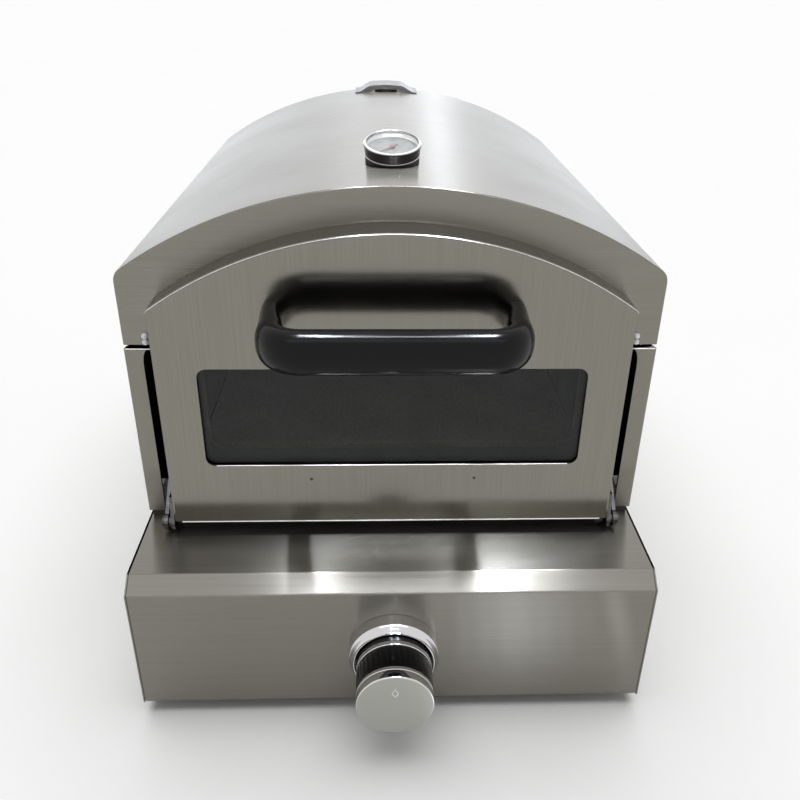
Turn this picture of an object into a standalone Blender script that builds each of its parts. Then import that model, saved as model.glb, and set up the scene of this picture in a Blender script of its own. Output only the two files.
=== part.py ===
"""Portable gas pizza oven: a burner box with a front shelf, a folded oven body, an arched hood,
a drop-down door with a window and a moulded handle, a gas valve with a push-and-turn knob and a
dial thermometer. Metres, +Z up, the front faces -Y. The origin is under the middle of the oven,
on the surface that it stands on."""

import math

import bmesh
import bpy
from mathutils import Matrix, Vector

# Fits shared by every piece
GAP = 0.0003
OVERRUN = 0.004
SHEET = 0.0012
BEND_RADIUS = 0.0022
HEM = 0.012

# Feet
FOOT_HEIGHT = 0.012
FOOT_RADIUS = 0.015
FOOT_TIP_RADIUS = 0.012
FOOT_EDGE = 0.0015
FOOT_INSET = 0.036

# Burner box
BASE_WIDTH = 0.420
BASE_DEPTH = 0.618
SHELF_HEIGHT = 0.1257
PANEL_DROP = 0.0106
SHELF_SLOPE = 0.0142
END_LINE = 0.0005
BACK_SLOT_WIDTH = 0.006
BACK_SLOT_HEIGHT = 0.050
BACK_SLOT_PITCH = 0.022
BACK_SLOTS = 7
FLOOR_SLOT_LENGTH = 0.110
FLOOR_SLOT_WIDTH = 0.008
FLOOR_SLOT_PITCH = 0.030
FLOOR_SLOTS = 5

# Oven body on top of the burner box
SHELF_DEPTH = 0.0915
BODY_INSET = 0.0004
BODY_RAISE = 0.0062
WALL_HEIGHT = 0.1532
FRONT_FLANGE = 0.0136
FLANGE_LIP = 0.0046
NOTCH_WIDTH = 0.0045
NOTCH_HEIGHT = 0.014
RAIL_WIDTH = 0.022
RAIL_INSET = 0.002
RAIL_END_INSET = 0.002
BODY_FOLD = 0.024
TOP_FOLD = 0.010

# Hood
SEAM_GAP = 0.0026
SHOULDER_RISE = 0.0541
CROWN_RISE = 0.0728
SHOULDER_RADIUS = 0.012
HOOD_EDGE = 0.0009
ARC_STEPS = 36
SHOULDER_STEPS = 4
HOOD_CAVITY = 0.018

# Door
DOOR_MARGIN = 0.02865
DOOR_DEPTH = 0.0295
DOOR_RAISE = 0.0146
DOOR_SHOULDER_DROP = 0.0130
DOOR_CROWN_DROP = 0.0261
DOOR_CORNER = 0.003
DOOR_EDGE = 0.0016
DOOR_LAP = 0.012
WINDOW_MARGIN = 0.03175
WINDOW_RAISE = 0.0550
WINDOW_HEIGHT = 0.0857
WINDOW_CORNER = 0.0075
GASKET_THICKNESS = 0.0010
GASKET_WIDTH = 0.008
GLASS_THICKNESS = 0.004
GLASS_LAP = 0.012
RETAINER_WALL = 0.0020
RETAINER_LIP = 0.006
INNER_RECESS = 0.0010

# Door handle
HANDLE_WIDTH = 0.1995
HANDLE_DROP = 0.0649
HANDLE_REACH = 0.057
BAR_DEPTH = 0.024
BAR_HEIGHT = 0.032
LEG_WIDTH = 0.016
LEG_HEIGHT = 0.031
HANDLE_CORNER = 0.034
HANDLE_CORNER_STEPS = 8
HANDLE_SIDES = 20
SECTION_POWER = 2.2

# Door hinge
HINGE_SETBACK = 0.008
HINGE_RAISE = 0.0103
HINGE_PIN_RADIUS = 0.003
HINGE_HEAD_RADIUS = 0.0052
HINGE_HEAD = 0.0018
HINGE_CLEARANCE = 0.0003
ARM_THICKNESS = 0.003
ARM_EYE_RADIUS = 0.0080
ARM_HEIGHT = 0.026
ARM_TIP_WIDTH = 0.006
BRACKET_THICKNESS = 0.003
BRACKET_EYE_RADIUS = 0.0075
HINGE_SPACE = 0.0030
BRACKET_FOOT_HEIGHT = 0.030
BRACKET_FOOT_WIDTH = 0.014

# Cooking chamber
LINER_MARGIN = 0.0316
JAMB_LAP = 0.0015
MOUTH_MARGIN = 0.01195
SILL_RAISE = 0.0263
LINER_BACK_INSET = 0.008
FLAME_OPENING_MARGIN = 0.068
FLAME_OPENING_FRONT = 0.090
FLAME_OPENING_REAR = 0.1285
RAIL_RAISE = 0.0323
STONE_RAIL_WIDTH = 0.026
STONE_RAIL_HEIGHT = 0.016
STONE_RAIL_FRONT = 0.035
STONE_RAIL_REAR = 0.0435
STONE_MARGIN = 0.008
STONE_FRONT = 0.050
STONE_REAR = 0.1085
STONE_THICKNESS = 0.012
STONE_EDGE = 0.002
SHIELD_LAP = 0.010
SHIELD_HEIGHT = 0.018
SHIELD_SLOT_WIDTH = 0.010
SHIELD_SLOT_BRIDGE = 0.010
SHIELD_SLOT_ROWS = 3
SHIELD_SLOT_COLUMNS = 4

# Door stop bumpers on the hood flange
BUMPER_RADIUS = 0.0021
BUMPER_PITCH = 0.0049
BUMPER_INSET = 0.0178
BUMPER_RAISE = 0.0084
BUMPER_BASE = 0.0012

# Flue
FLUE_SETBACK = 0.0210
FLUE_RADIUS = 0.0112
FLUE_WALL = 0.0012
FLUE_RISE = 0.0022
FLUE_FLANGE = 0.003
COWL_WIDTH = 0.064
COWL_TOP_WIDTH = 0.040
COWL_DEPTH = 0.046
COWL_OVERHANG = 0.008
COWL_RISE = 0.0074
COWL_FOOT = 0.006
COWL_BEND = 0.016
COWL_SLOT_WIDTH = 0.036
COWL_SLOT_HEIGHT = 0.0034

# Thermometer
GAUGE_SETBACK = 0.080
GAUGE_TILT = math.radians(14.5)
GAUGE_RADIUS = 0.0222
GAUGE_RIM_RADIUS = 0.0229
GAUGE_BASE = 0.0070
GAUGE_HEIGHT = 0.0100
GAUGE_RIM_HEIGHT = 0.0026
GAUGE_WALL = 0.0015
GAUGE_FLOOR = 0.0028
GAUGE_EDGE = 0.0006
GAUGE_COLLAR_STEP = 0.0006
DIAL_THICKNESS = 0.0008
POINTER_HUB_RADIUS = 0.0022
POINTER_LENGTH = 0.0150
POINTER_TAIL = 0.0055
POINTER_WIDTH = 0.0016
POINTER_THICKNESS = 0.0006
POINTER_RISE = 0.0010
POINTER_REST = math.radians(135)
LENS_THICKNESS = 0.0015
LENS_DROP = 0.0011
PROBE_RADIUS = 0.003
PROBE_LENGTH = 0.072
PROBE_CLEARANCE = 0.0012
GAUGE_NUT_RADIUS = 0.0085
GAUGE_NUT_HEIGHT = 0.005

# Gas valve and knob
KNOB_AXIS_HEIGHT = 0.0575
KNOB_REACH = 0.0595
STEM_RADIUS = 0.004
STEM_FLAT = 0.0028
STEM_CLEARANCE = 0.0003
STEM_BEHIND = 0.020
STEM_INTO_KNOB = 0.020
KNOB_TRAVEL = 0.004
PANEL_HOLE_RADIUS = 0.0095
COLLAR_RADIUS = 0.0078
COLLAR_LENGTH = 0.004
VALVE_RADIUS = 0.0130
VALVE_FLANGE_RADIUS = 0.0180
VALVE_FLANGE = 0.0050
VALVE_LENGTH = 0.042
VALVE_PORT_RADIUS = 0.0070
VALVE_PORT_REACH = 0.0240
VALVE_PORT_SETBACK = 0.026
INJECTOR_RADIUS = 0.0050
INJECTOR_LENGTH = 0.016
INJECTOR_TIP_RADIUS = 0.0020
BEZEL_RADIUS = 0.0362
BEZEL_SKIRT = 0.0115
BEZEL_HEIGHT = 0.0180
BEZEL_MOUTH_RADIUS = 0.0314
BEZEL_WALL = 0.0016
KNOB_REAR = 0.0062
GRIP_RADIUS = 0.0301
GRIP_TIP_RADIUS = 0.0298
RING_AT = 0.0215
RING_LENGTH = 0.0049
RING_DEPTH = 0.0045
RING_EDGE = 0.0008
CAP_LENGTH = 0.0110
CAP_RADIUS = 0.0298
CAP_EDGE = 0.0010
MARK_LENGTH = 0.0050
MARK_WIDTH = 0.0038
MARK_HEIGHT = 0.0007
MARK_AT = 0.0190

# Burner and gas line
BURNER_RADIUS = 0.0110
BURNER_WALL = 0.0016
BURNER_DROP = 0.0267
BURNER_START = 0.0520
BURNER_MOUTH_DEPTH = 0.030
BURNER_RISE_FROM = 0.110
BURNER_RISE_END = 0.0675
BURNER_SIDE_INSET = 0.030
BURNER_END_INSET = 0.035
BURNER_BEND_RADIUS = 0.0225
BURNER_BEND_STEPS = 5
BURNER_END_GAP = 0.014
BURNER_BRACKET_WIDTH = 0.030
BURNER_BRACKET_FOLD = 0.020
PIPE_RADIUS = 0.0045
PIPE_BEND_RADIUS = 0.020
PIPE_SIDE_INSET = 0.060
IGNITER_RADIUS = 0.0032
IGNITER_LENGTH = 0.034
IGNITER_TIP_RADIUS = 0.0010
IGNITER_TIP_LENGTH = 0.012
IGNITER_OFFSET = 0.019
INLET_RADIUS = 0.0085
INLET_FLANGE_RADIUS = 0.0120
INLET_FLANGE = 0.004
INLET_REACH = 0.018
INLET_INSIDE = 0.016
INLET_BORE = 0.0040
INLET_BORE_DEPTH = 0.012

# Smoothness of round pieces
ROUND_STEPS = 40
FINE_STEPS = 32
SMALL_STEPS = 16
HEXAGON = 6
CORNER_STEPS = 5
BEND_STEPS = 3
COWL_WALL_STEPS = 8
SLOT_STEPS = 1
WELD = 0.00001
SMOOTH_ANGLE = math.radians(32)
EDGE_ANGLE = math.radians(60)

# Places worked out from the sizes above
PANEL_Y = (KNOB_REACH + MARK_HEIGHT - BASE_DEPTH - INLET_REACH) / 2
BACK_Y = PANEL_Y + BASE_DEPTH
FLANGE_Y = PANEL_Y + SHELF_DEPTH
DOOR_FACE_Y = FLANGE_Y - DOOR_DEPTH
DOOR_REAR_Y = FLANGE_Y - GAP
HINGE_Y = DOOR_FACE_Y + HINGE_SETBACK
LINER_BACK_Y = BACK_Y - LINER_BACK_INSET
BASE_Z = FOOT_HEIGHT
SHELF_Z = BASE_Z + SHELF_HEIGHT
PANEL_TOP_Z = SHELF_Z - PANEL_DROP
BODY_Z = SHELF_Z + BODY_RAISE
SEAM_Z = BODY_Z + WALL_HEIGHT
HOOD_Z = SEAM_Z + SEAM_GAP
SHOULDER_Z = SEAM_Z + SHOULDER_RISE
CROWN_Z = SHOULDER_Z + CROWN_RISE
DOOR_Z = SHELF_Z + DOOR_RAISE
DOOR_SHOULDER_Z = SHOULDER_Z - DOOR_SHOULDER_DROP
DOOR_CROWN_Z = CROWN_Z - DOOR_CROWN_DROP
WINDOW_Z = DOOR_Z + WINDOW_RAISE
HANDLE_Z = DOOR_CROWN_Z - HANDLE_DROP
HINGE_Z = SHELF_Z + HINGE_RAISE
KNOB_Z = BASE_Z + KNOB_AXIS_HEIGHT
LINER_FLOOR_Z = SHELF_Z + GAP
STONE_RAIL_Z = SHELF_Z + RAIL_RAISE
BURNER_Z = SHELF_Z - BURNER_DROP
INNER_HALF = BASE_WIDTH / 2 - SHEET - END_LINE
BODY_HALF = BASE_WIDTH / 2 - BODY_INSET
DOOR_HALF = BODY_HALF - DOOR_MARGIN
WINDOW_HALF = DOOR_HALF - WINDOW_MARGIN
LINER_HALF = BODY_HALF - LINER_MARGIN
STONE_HALF = LINER_HALF - STONE_MARGIN
FLAME_HALF = LINER_HALF - FLAME_OPENING_MARGIN
FLAME_FRONT_Y = FLANGE_Y + FLAME_OPENING_FRONT
FLAME_REAR_Y = LINER_BACK_Y - FLAME_OPENING_REAR
BURNER_HALF = FLAME_HALF - BURNER_SIDE_INSET
INLET_X = PIPE_SIDE_INSET - BASE_WIDTH / 2

STEEL_COLOUR = (0.50, 0.48, 0.44)
FINISHES = {
    "brushed": (STEEL_COLOUR, 0.32, 1.0),
    "bright": ((0.72, 0.72, 0.72), 0.08, 1.0),
    "dark_steel": ((0.10, 0.10, 0.10), 0.45, 1.0),
    "plain_steel": ((0.56, 0.56, 0.55), 0.40, 1.0),
    "black_plastic": ((0.008, 0.008, 0.010), 0.22, 0.0),
    "rubber": ((0.015, 0.015, 0.015), 0.75, 0.0),
    "silicone": ((0.80, 0.81, 0.82), 0.40, 0.0),
    "glass": ((0.020, 0.024, 0.024), 0.05, 0.0),
    "clear_glass": ((0.80, 0.82, 0.82), 0.03, 0.0),
    "stone": ((0.62, 0.55, 0.44), 0.90, 0.0),
    "ceramic": ((0.85, 0.84, 0.80), 0.45, 0.0),
    "brass": ((0.70, 0.52, 0.22), 0.30, 1.0),
    "dial": ((0.60, 0.60, 0.58), 0.60, 0.0),
    "red_paint": ((0.55, 0.03, 0.02), 0.40, 0.0),
}


def clear_scene():
    for obj in list(bpy.data.objects):
        bpy.data.objects.remove(obj)


def new_collection(name, hidden):
    collection = bpy.data.collections.new(name)
    bpy.context.scene.collection.children.link(collection)
    collection.hide_render = hidden
    return collection


def new_material(name, finish):
    colour, roughness, metallic = FINISHES[finish]
    material = bpy.data.materials.new(name)
    material.use_nodes = True
    shader = material.node_tree.nodes["Principled BSDF"]
    shader.inputs["Base Color"].default_value = (*colour, 1.0)
    shader.inputs["Roughness"].default_value = roughness
    shader.inputs["Metallic"].default_value = metallic
    return material


# Outlines and paths, as lists of two numbers in one plane


def unit(a, b):
    length = math.hypot(b[0] - a[0], b[1] - a[1])
    return (b[0] - a[0]) / length, (b[1] - a[1]) / length


def rounded(points, radius, steps=CORNER_STEPS, closed=True):
    """The outline or path with each corner turned into an arc of this radius."""
    count = len(points)
    result = []
    for i, corner in enumerate(points):
        if not closed and i in (0, count - 1):
            result.append(corner)
            continue
        to_last = unit(corner, points[i - 1])
        to_next = unit(corner, points[(i + 1) % count])
        cosine = to_last[0] * to_next[0] + to_last[1] * to_next[1]
        half = math.acos(max(-1.0, min(1.0, cosine))) / 2
        reach = radius / math.tan(half)
        middle = (to_last[0] + to_next[0], to_last[1] + to_next[1])
        scale = radius / math.sin(half) / math.hypot(*middle)
        centre = (corner[0] + middle[0] * scale, corner[1] + middle[1] * scale)
        start = (corner[0] + to_last[0] * reach, corner[1] + to_last[1] * reach)
        end = (corner[0] + to_next[0] * reach, corner[1] + to_next[1] * reach)
        first = math.atan2(start[1] - centre[1], start[0] - centre[0])
        last = math.atan2(end[1] - centre[1], end[0] - centre[0])
        turn = (last - first + math.pi) % (2 * math.pi) - math.pi
        for step in range(steps + 1):
            angle = first + turn * step / steps
            result.append((centre[0] + radius * math.cos(angle), centre[1] + radius * math.sin(angle)))
    return result


def rectangle(x_low, x_high, z_low, z_high):
    return [(x_low, z_low), (x_high, z_low), (x_high, z_high), (x_low, z_high)]


def arch(half_width, shoulder, crown, radius, steps=ARC_STEPS):
    """Points over an arch from its right side to its left: a wide arc with a small arc at each shoulder."""
    rise = crown - shoulder
    reach = half_width - radius
    wide = (reach**2 + rise**2 - radius**2) / (2 * (rise - radius))
    centre = crown - wide
    meeting = math.atan2(shoulder - centre, reach)
    right = []
    for step in range(SHOULDER_STEPS):
        angle = meeting * step / SHOULDER_STEPS
        right.append((reach + radius * math.cos(angle), shoulder + radius * math.sin(angle)))
    for step in range(steps // 2):
        angle = meeting + (math.pi / 2 - meeting) * step / (steps // 2)
        right.append((wide * math.cos(angle), centre + wide * math.sin(angle)))
    left = [(-x, z) for x, z in reversed(right)]
    return right + [(0.0, crown)] + left


def arch_outline(half_width, bottom, shoulder, crown, radius):
    return [(half_width, bottom)] + arch(half_width, shoulder, crown, radius) + [(-half_width, bottom)]


def hood_outline(inset, bottom):
    return arch_outline(
        BODY_HALF - inset, bottom, SHOULDER_Z, CROWN_Z - inset, SHOULDER_RADIUS - inset
    )


def door_outline(inset, bottom, corner):
    return arch_outline(DOOR_HALF - inset, bottom, DOOR_SHOULDER_Z, DOOR_CROWN_Z - inset, corner)


# Meshes and modifiers

PLACES = {
    "X": lambda a, b, depth: (depth, a, b),
    "Y": lambda a, b, depth: (a, depth, b),
    "Z": lambda a, b, depth: (a, b, depth),
}


def place_object(name, mesh, parent=None):
    obj = bpy.data.objects.new(name, mesh)
    obj.parent = parent
    return obj


def mesh_from(name, bm):
    bmesh.ops.recalc_face_normals(bm, faces=bm.faces)
    mesh = bpy.data.meshes.new(name)
    bm.to_mesh(mesh)
    bm.free()
    mesh.shade_smooth()
    mesh.set_sharp_from_angle(angle=SMOOTH_ANGLE)
    return mesh


def prism(name, outline, axis, low, high, origin=(0.0, 0.0, 0.0)):
    """A flat outline pushed along an axis from low to high, with its object's origin where asked."""
    bm = bmesh.new()
    corners = [bm.verts.new(Vector(PLACES[axis](a, b, low)) - Vector(origin)) for a, b in outline]
    face = bm.faces.new(corners)
    pushed = bmesh.ops.extrude_face_region(bm, geom=[face])
    moved = [v for v in pushed["geom"] if isinstance(v, bmesh.types.BMVert)]
    bmesh.ops.translate(bm, verts=moved, vec=Vector(PLACES[axis](0.0, 0.0, high - low)))
    obj = place_object(name, mesh_from(name, bm))
    obj.location = origin
    return obj


def block(name, x, y, z):
    """A box between the low and high value of each axis."""
    bm = bmesh.new()
    bmesh.ops.create_cube(bm, size=1.0)
    size = Vector((x[1] - x[0], y[1] - y[0], z[1] - z[0]))
    middle = Vector((x[0] + x[1], y[0] + y[1], z[0] + z[1])) / 2
    bmesh.ops.scale(bm, verts=bm.verts, vec=size)
    bmesh.ops.translate(bm, verts=bm.verts, vec=middle)
    return place_object(name, mesh_from(name, bm))


def rod(name, radius, start, end, steps=FINE_STEPS):
    """A cylinder between two points."""
    start = Vector(start)
    end = Vector(end)
    along = end - start
    bm = bmesh.new()
    bmesh.ops.create_cone(
        bm, cap_ends=True, segments=steps, radius1=radius, radius2=radius, depth=along.length
    )
    turn = along.to_track_quat("Z", "Y").to_matrix().to_4x4()
    bmesh.ops.transform(bm, matrix=Matrix.Translation((start + end) / 2) @ turn, verts=bm.verts)
    return place_object(name, mesh_from(name, bm))


def turned(name, profile, steps=ROUND_STEPS, ring=False, parent=None):
    """A profile of radius and height, from the top down its outer side, turned about Z."""
    mesh = bpy.data.meshes.new(name)
    edges = [(i, i + 1) for i in range(len(profile) - 1)]
    if ring:
        edges.append((len(profile) - 1, 0))
    mesh.from_pydata([(radius, 0.0, height) for radius, height in profile], edges, [])
    obj = place_object(name, mesh, parent)
    screw = obj.modifiers.new("turned", "SCREW")
    screw.axis = "Z"
    screw.steps = steps
    screw.render_steps = steps
    screw.use_merge_vertices = True
    screw.merge_threshold = WELD
    screw.use_smooth_shade = True
    return obj


def folded(name, path, axis, low, high, side):
    """Sheet metal bent along a path, as a strip given its thickness to one side."""
    bm = bmesh.new()
    points = [bm.verts.new(PLACES[axis](a, b, low)) for a, b in path]
    edges = [bm.edges.new((points[i], points[i + 1])) for i in range(len(points) - 1)]
    pushed = bmesh.ops.extrude_edge_only(bm, edges=edges)
    moved = [v for v in pushed["geom"] if isinstance(v, bmesh.types.BMVert)]
    bmesh.ops.translate(bm, verts=moved, vec=Vector(PLACES[axis](0.0, 0.0, high - low)))
    mesh = bpy.data.meshes.new(name)
    bm.to_mesh(mesh)
    bm.free()
    mesh.shade_smooth()
    obj = place_object(name, mesh)
    solidify = obj.modifiers.new("sheet", "SOLIDIFY")
    solidify.thickness = SHEET
    solidify.offset = side
    solidify.use_even_offset = True
    return obj


def tube(name, path, radius, sides):
    """A round bar along a path of points, closed at both ends, as a mesh."""
    curve = bpy.data.curves.new(name, "CURVE")
    curve.dimensions = "3D"
    curve.bevel_depth = radius
    curve.bevel_resolution = sides
    curve.use_fill_caps = True
    spline = curve.splines.new("POLY")
    spline.points.add(len(path) - 1)
    for point, place in zip(spline.points, path):
        point.co = (*place, 1.0)
    guide = bpy.data.objects.new(name + "_curve", curve)
    bpy.context.scene.collection.objects.link(guide)
    graph = bpy.context.evaluated_depsgraph_get()
    graph.update()
    mesh = bpy.data.meshes.new_from_object(guide.evaluated_get(graph))
    bpy.data.objects.remove(guide)
    bm = bmesh.new()
    bm.from_mesh(mesh)
    bmesh.ops.remove_doubles(bm, verts=bm.verts, dist=WELD)
    bpy.data.meshes.remove(mesh)
    return place_object(name, mesh_from(name, bm))


def path_3d(corners, radius, steps):
    """Corners in space joined by straight runs, with every bend rounded."""
    result = [Vector(corners[0])]
    for last, corner, following in zip(corners, corners[1:], corners[2:]):
        corner = Vector(corner)
        back = (Vector(last) - corner).normalized()
        ahead = (Vector(following) - corner).normalized()
        half = back.angle(ahead) / 2
        reach = radius / math.tan(half)
        centre = corner + (back + ahead).normalized() * radius / math.sin(half)
        start = corner + back * reach - centre
        axis = start.cross(corner + ahead * reach - centre)
        for step in range(steps + 1):
            turn = Matrix.Rotation((math.pi - 2 * half) * step / steps, 3, axis)
            result.append(centre + turn @ start)
    result.append(Vector(corners[-1]))
    return result


def boolean(obj, operation, others):
    for other in others:
        modifier = obj.modifiers.new(operation.lower(), "BOOLEAN")
        modifier.operation = operation
        modifier.solver = "EXACT"
        modifier.object = other
        cutters.objects.link(other)
        other.display_type = "WIRE"
        other.hide_render = True
    return obj


def cut(obj, *others):
    return boolean(obj, "DIFFERENCE", others)


def join(obj, *others):
    return boolean(obj, "UNION", others)


def bevelled(obj, width, steps):
    bevel = obj.modifiers.new("edge", "BEVEL")
    bevel.width = width
    bevel.segments = steps
    bevel.limit_method = "ANGLE"
    bevel.angle_limit = EDGE_ANGLE
    return obj


def part(obj, finish):
    """Puts a finished sub-part in the oven's collection, with a material of its own."""
    oven.objects.link(obj)
    obj.data.materials.clear()
    obj.data.materials.append(new_material(obj.name, finish))
    return obj


def empty(name, location, rotation=(0.0, 0.0, 0.0), parent=None):
    obj = bpy.data.objects.new(name, None)
    obj.location = location
    obj.rotation_euler = rotation
    obj.parent = parent
    oven.objects.link(obj)
    return obj


# Burner box


def build_feet():
    foot_top = BASE_Z + SHEET
    profile = [
        (0.0, foot_top),
        (FOOT_RADIUS, foot_top),
        (FOOT_RADIUS, foot_top - SHEET - FOOT_EDGE),
        (FOOT_TIP_RADIUS, FOOT_EDGE),
        (FOOT_TIP_RADIUS - FOOT_EDGE, 0.0),
        (0.0, 0.0),
    ]
    for side, x in (("left", -1), ("right", 1)):
        for end, y in (("front", PANEL_Y + FOOT_INSET), ("rear", BACK_Y - FOOT_INSET)):
            foot = turned(f"foot_{end}_{side}", profile, SMALL_STEPS)
            foot.location = (x * (BASE_WIDTH / 2 - FOOT_INSET), y, 0.0)
            part(foot, "rubber")


def base_section():
    """The outer line of the burner box seen from its side, from the front bottom fold to the back."""
    return [
        (PANEL_Y, BASE_Z),
        (PANEL_Y, PANEL_TOP_Z),
        (PANEL_Y + SHELF_SLOPE, SHELF_Z),
        (BACK_Y, SHELF_Z),
    ]


def flame_opening(name, z_low, z_high):
    outline = rectangle(-FLAME_HALF, FLAME_HALF, FLAME_FRONT_Y, FLAME_REAR_Y)
    return prism(name, rounded(outline, HEM), "Z", z_low, z_high)


def build_base_shell():
    path = [(PANEL_Y + HEM, BASE_Z)] + base_section()
    path = rounded(path, BEND_RADIUS, BEND_STEPS, closed=False)
    shell = folded("base_shell", path, "X", -INNER_HALF, INNER_HALF, -1)
    stem_hole = rod(
        "panel_hole",
        PANEL_HOLE_RADIUS,
        (0.0, PANEL_Y - OVERRUN, KNOB_Z),
        (0.0, PANEL_Y + SHEET + OVERRUN, KNOB_Z),
    )
    cut(shell, stem_hole, flame_opening("shelf_opening", SHELF_Z - SHEET - OVERRUN, SHELF_Z + OVERRUN))
    part(shell, "brushed")


def build_base_ends():
    outline = base_section() + [(BACK_Y, BASE_Z)]
    for side, sign in (("left", -1), ("right", 1)):
        outer = sign * BASE_WIDTH / 2
        inner = sign * (BASE_WIDTH / 2 - SHEET)
        end = prism(f"base_end_{side}", outline, "X", inner, outer)
        fold = block(
            f"end_fold_{side}",
            sorted((sign * (BASE_WIDTH / 2 - SHEET / 2), sign * (BASE_WIDTH / 2 - HEM - SHEET))),
            (PANEL_Y + HEM + GAP, BACK_Y - SHEET - GAP),
            (BASE_Z, BASE_Z + SHEET),
        )
        part(join(end, fold), "brushed")


def build_base_back():
    top = SHELF_Z - SHEET - GAP
    back = block("base_back", (-INNER_HALF, INNER_HALF), (BACK_Y - SHEET, BACK_Y), (BASE_Z, top))
    slots = []
    for i in range(BACK_SLOTS):
        x = (i - (BACK_SLOTS - 1) / 2) * BACK_SLOT_PITCH
        outline = rectangle(
            x - BACK_SLOT_WIDTH / 2,
            x + BACK_SLOT_WIDTH / 2,
            KNOB_Z - BACK_SLOT_HEIGHT / 2,
            KNOB_Z + BACK_SLOT_HEIGHT / 2,
        )
        outline = rounded(outline, BACK_SLOT_WIDTH / 2 - GAP, SLOT_STEPS)
        slots.append(prism(f"back_slot_{i + 1}", outline, "Y", BACK_Y - SHEET - OVERRUN, BACK_Y + OVERRUN))
    inlet_hole = rod(
        "inlet_hole",
        INLET_RADIUS + GAP,
        (INLET_X, BACK_Y - SHEET - OVERRUN, KNOB_Z),
        (INLET_X, BACK_Y + OVERRUN, KNOB_Z),
        SMALL_STEPS,
    )
    part(cut(back, inlet_hole, *slots), "brushed")


def build_base_floor():
    low = BASE_Z + SHEET + GAP
    half = INNER_HALF - GAP
    floor = block(
        "base_floor",
        (-half, half),
        (PANEL_Y + SHEET + BEND_RADIUS, BACK_Y - SHEET - GAP),
        (low, low + SHEET),
    )
    slots = []
    for row, y in enumerate((PANEL_Y + BASE_DEPTH / 4, BACK_Y - BASE_DEPTH / 4)):
        for i in range(FLOOR_SLOTS):
            x = (i - (FLOOR_SLOTS - 1) / 2) * FLOOR_SLOT_PITCH * 2
            outline = rectangle(
                x - FLOOR_SLOT_WIDTH / 2,
                x + FLOOR_SLOT_WIDTH / 2,
                y - FLOOR_SLOT_LENGTH / 2,
                y + FLOOR_SLOT_LENGTH / 2,
            )
            outline = rounded(outline, FLOOR_SLOT_WIDTH / 2 - GAP, SLOT_STEPS)
            name = f"floor_slot_{row + 1}_{i + 1}"
            slots.append(prism(name, outline, "Z", low - OVERRUN, low + SHEET + OVERRUN))
    part(cut(floor, *slots), "plain_steel")


# Oven body


def flange_outline(sign):
    """The front fold of a body side: a strip with a rounded web where it meets the hood."""
    outer = BODY_HALF
    inner = outer - FRONT_FLANGE
    web = inner - NOTCH_WIDTH
    top = SEAM_Z
    points = [(outer, BODY_Z), (outer, top), (web, top), (web, top - SHEET)]
    for step in range(CORNER_STEPS + 1):
        angle = math.pi / 2 * (1 - step / CORNER_STEPS)
        x = web + NOTCH_WIDTH * math.cos(angle)
        z = top - SHEET - NOTCH_HEIGHT + NOTCH_HEIGHT * math.sin(angle)
        points.append((x, z))
    points.append((inner, BODY_Z))
    return [(sign * x, z) for x, z in points]


def build_body_sides():
    outer = BODY_HALF
    for side, sign in (("left", -1), ("right", 1)):
        path = [
            (sign * (outer - BODY_FOLD), BODY_Z),
            (sign * outer, BODY_Z),
            (sign * outer, SEAM_Z),
            (sign * (outer - TOP_FOLD), SEAM_Z),
        ]
        path = rounded(path, BEND_RADIUS, BEND_STEPS, closed=False)
        wall = folded(
            f"body_side_{side}", path, "Y", FLANGE_Y + SHEET / 2, BACK_Y - SHEET - GAP, -sign
        )
        flange = prism(f"flange_{side}", flange_outline(sign), "Y", FLANGE_Y, FLANGE_Y + SHEET)
        lip = block(
            f"flange_lip_{side}",
            sorted((sign * (outer - SHEET / 2), sign * (outer - FRONT_FLANGE - NOTCH_WIDTH))),
            (FLANGE_Y + SHEET / 2, FLANGE_Y + FLANGE_LIP),
            (SEAM_Z - SHEET, SEAM_Z),
        )
        part(join(wall, flange, lip), "brushed")
        inner = outer - RAIL_INSET
        rail = block(
            f"body_rail_{side}",
            sorted((sign * inner, sign * (inner - RAIL_WIDTH))),
            (FLANGE_Y + RAIL_END_INSET, BACK_Y - RAIL_END_INSET),
            (SHELF_Z + GAP, BODY_Z - GAP),
        )
        part(rail, "rubber")


def build_body_back():
    low = SHELF_Z + GAP
    back = block("body_back", (-BODY_HALF, BODY_HALF), (BACK_Y - SHEET, BACK_Y), (low, SEAM_Z))
    part(back, "brushed")


# Cooking chamber


def build_chamber_liner():
    half = LINER_HALF
    path = [
        (-half, SEAM_Z),
        (-half, LINER_FLOOR_Z),
        (half, LINER_FLOOR_Z),
        (half, SEAM_Z),
    ]
    path = rounded(path, BEND_RADIUS, BEND_STEPS, closed=False)
    liner = folded("chamber_liner", path, "Y", FLANGE_Y + SHEET / 2, LINER_BACK_Y, -1)
    jamb = half + JAMB_LAP
    mouth = DOOR_HALF - MOUTH_MARGIN
    sill = SHELF_Z + SILL_RAISE
    frame = [
        (-jamb, LINER_FLOOR_Z),
        (jamb, LINER_FLOOR_Z),
        (jamb, SEAM_Z),
        (mouth, SEAM_Z),
        (mouth, sill),
        (-mouth, sill),
        (-mouth, SEAM_Z),
        (-jamb, SEAM_Z),
    ]
    front = prism("chamber_front", frame, "Y", FLANGE_Y, FLANGE_Y + SHEET)
    back = block(
        "chamber_back",
        (-half + SHEET / 2, half - SHEET / 2),
        (LINER_BACK_Y - SHEET, LINER_BACK_Y - GAP),
        (LINER_FLOOR_Z + SHEET / 2, SEAM_Z),
    )
    join(liner, front, back)
    cut(liner, flame_opening("liner_opening", LINER_FLOOR_Z - OVERRUN, LINER_FLOOR_Z + SHEET + OVERRUN))
    part(liner, "dark_steel")


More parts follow.
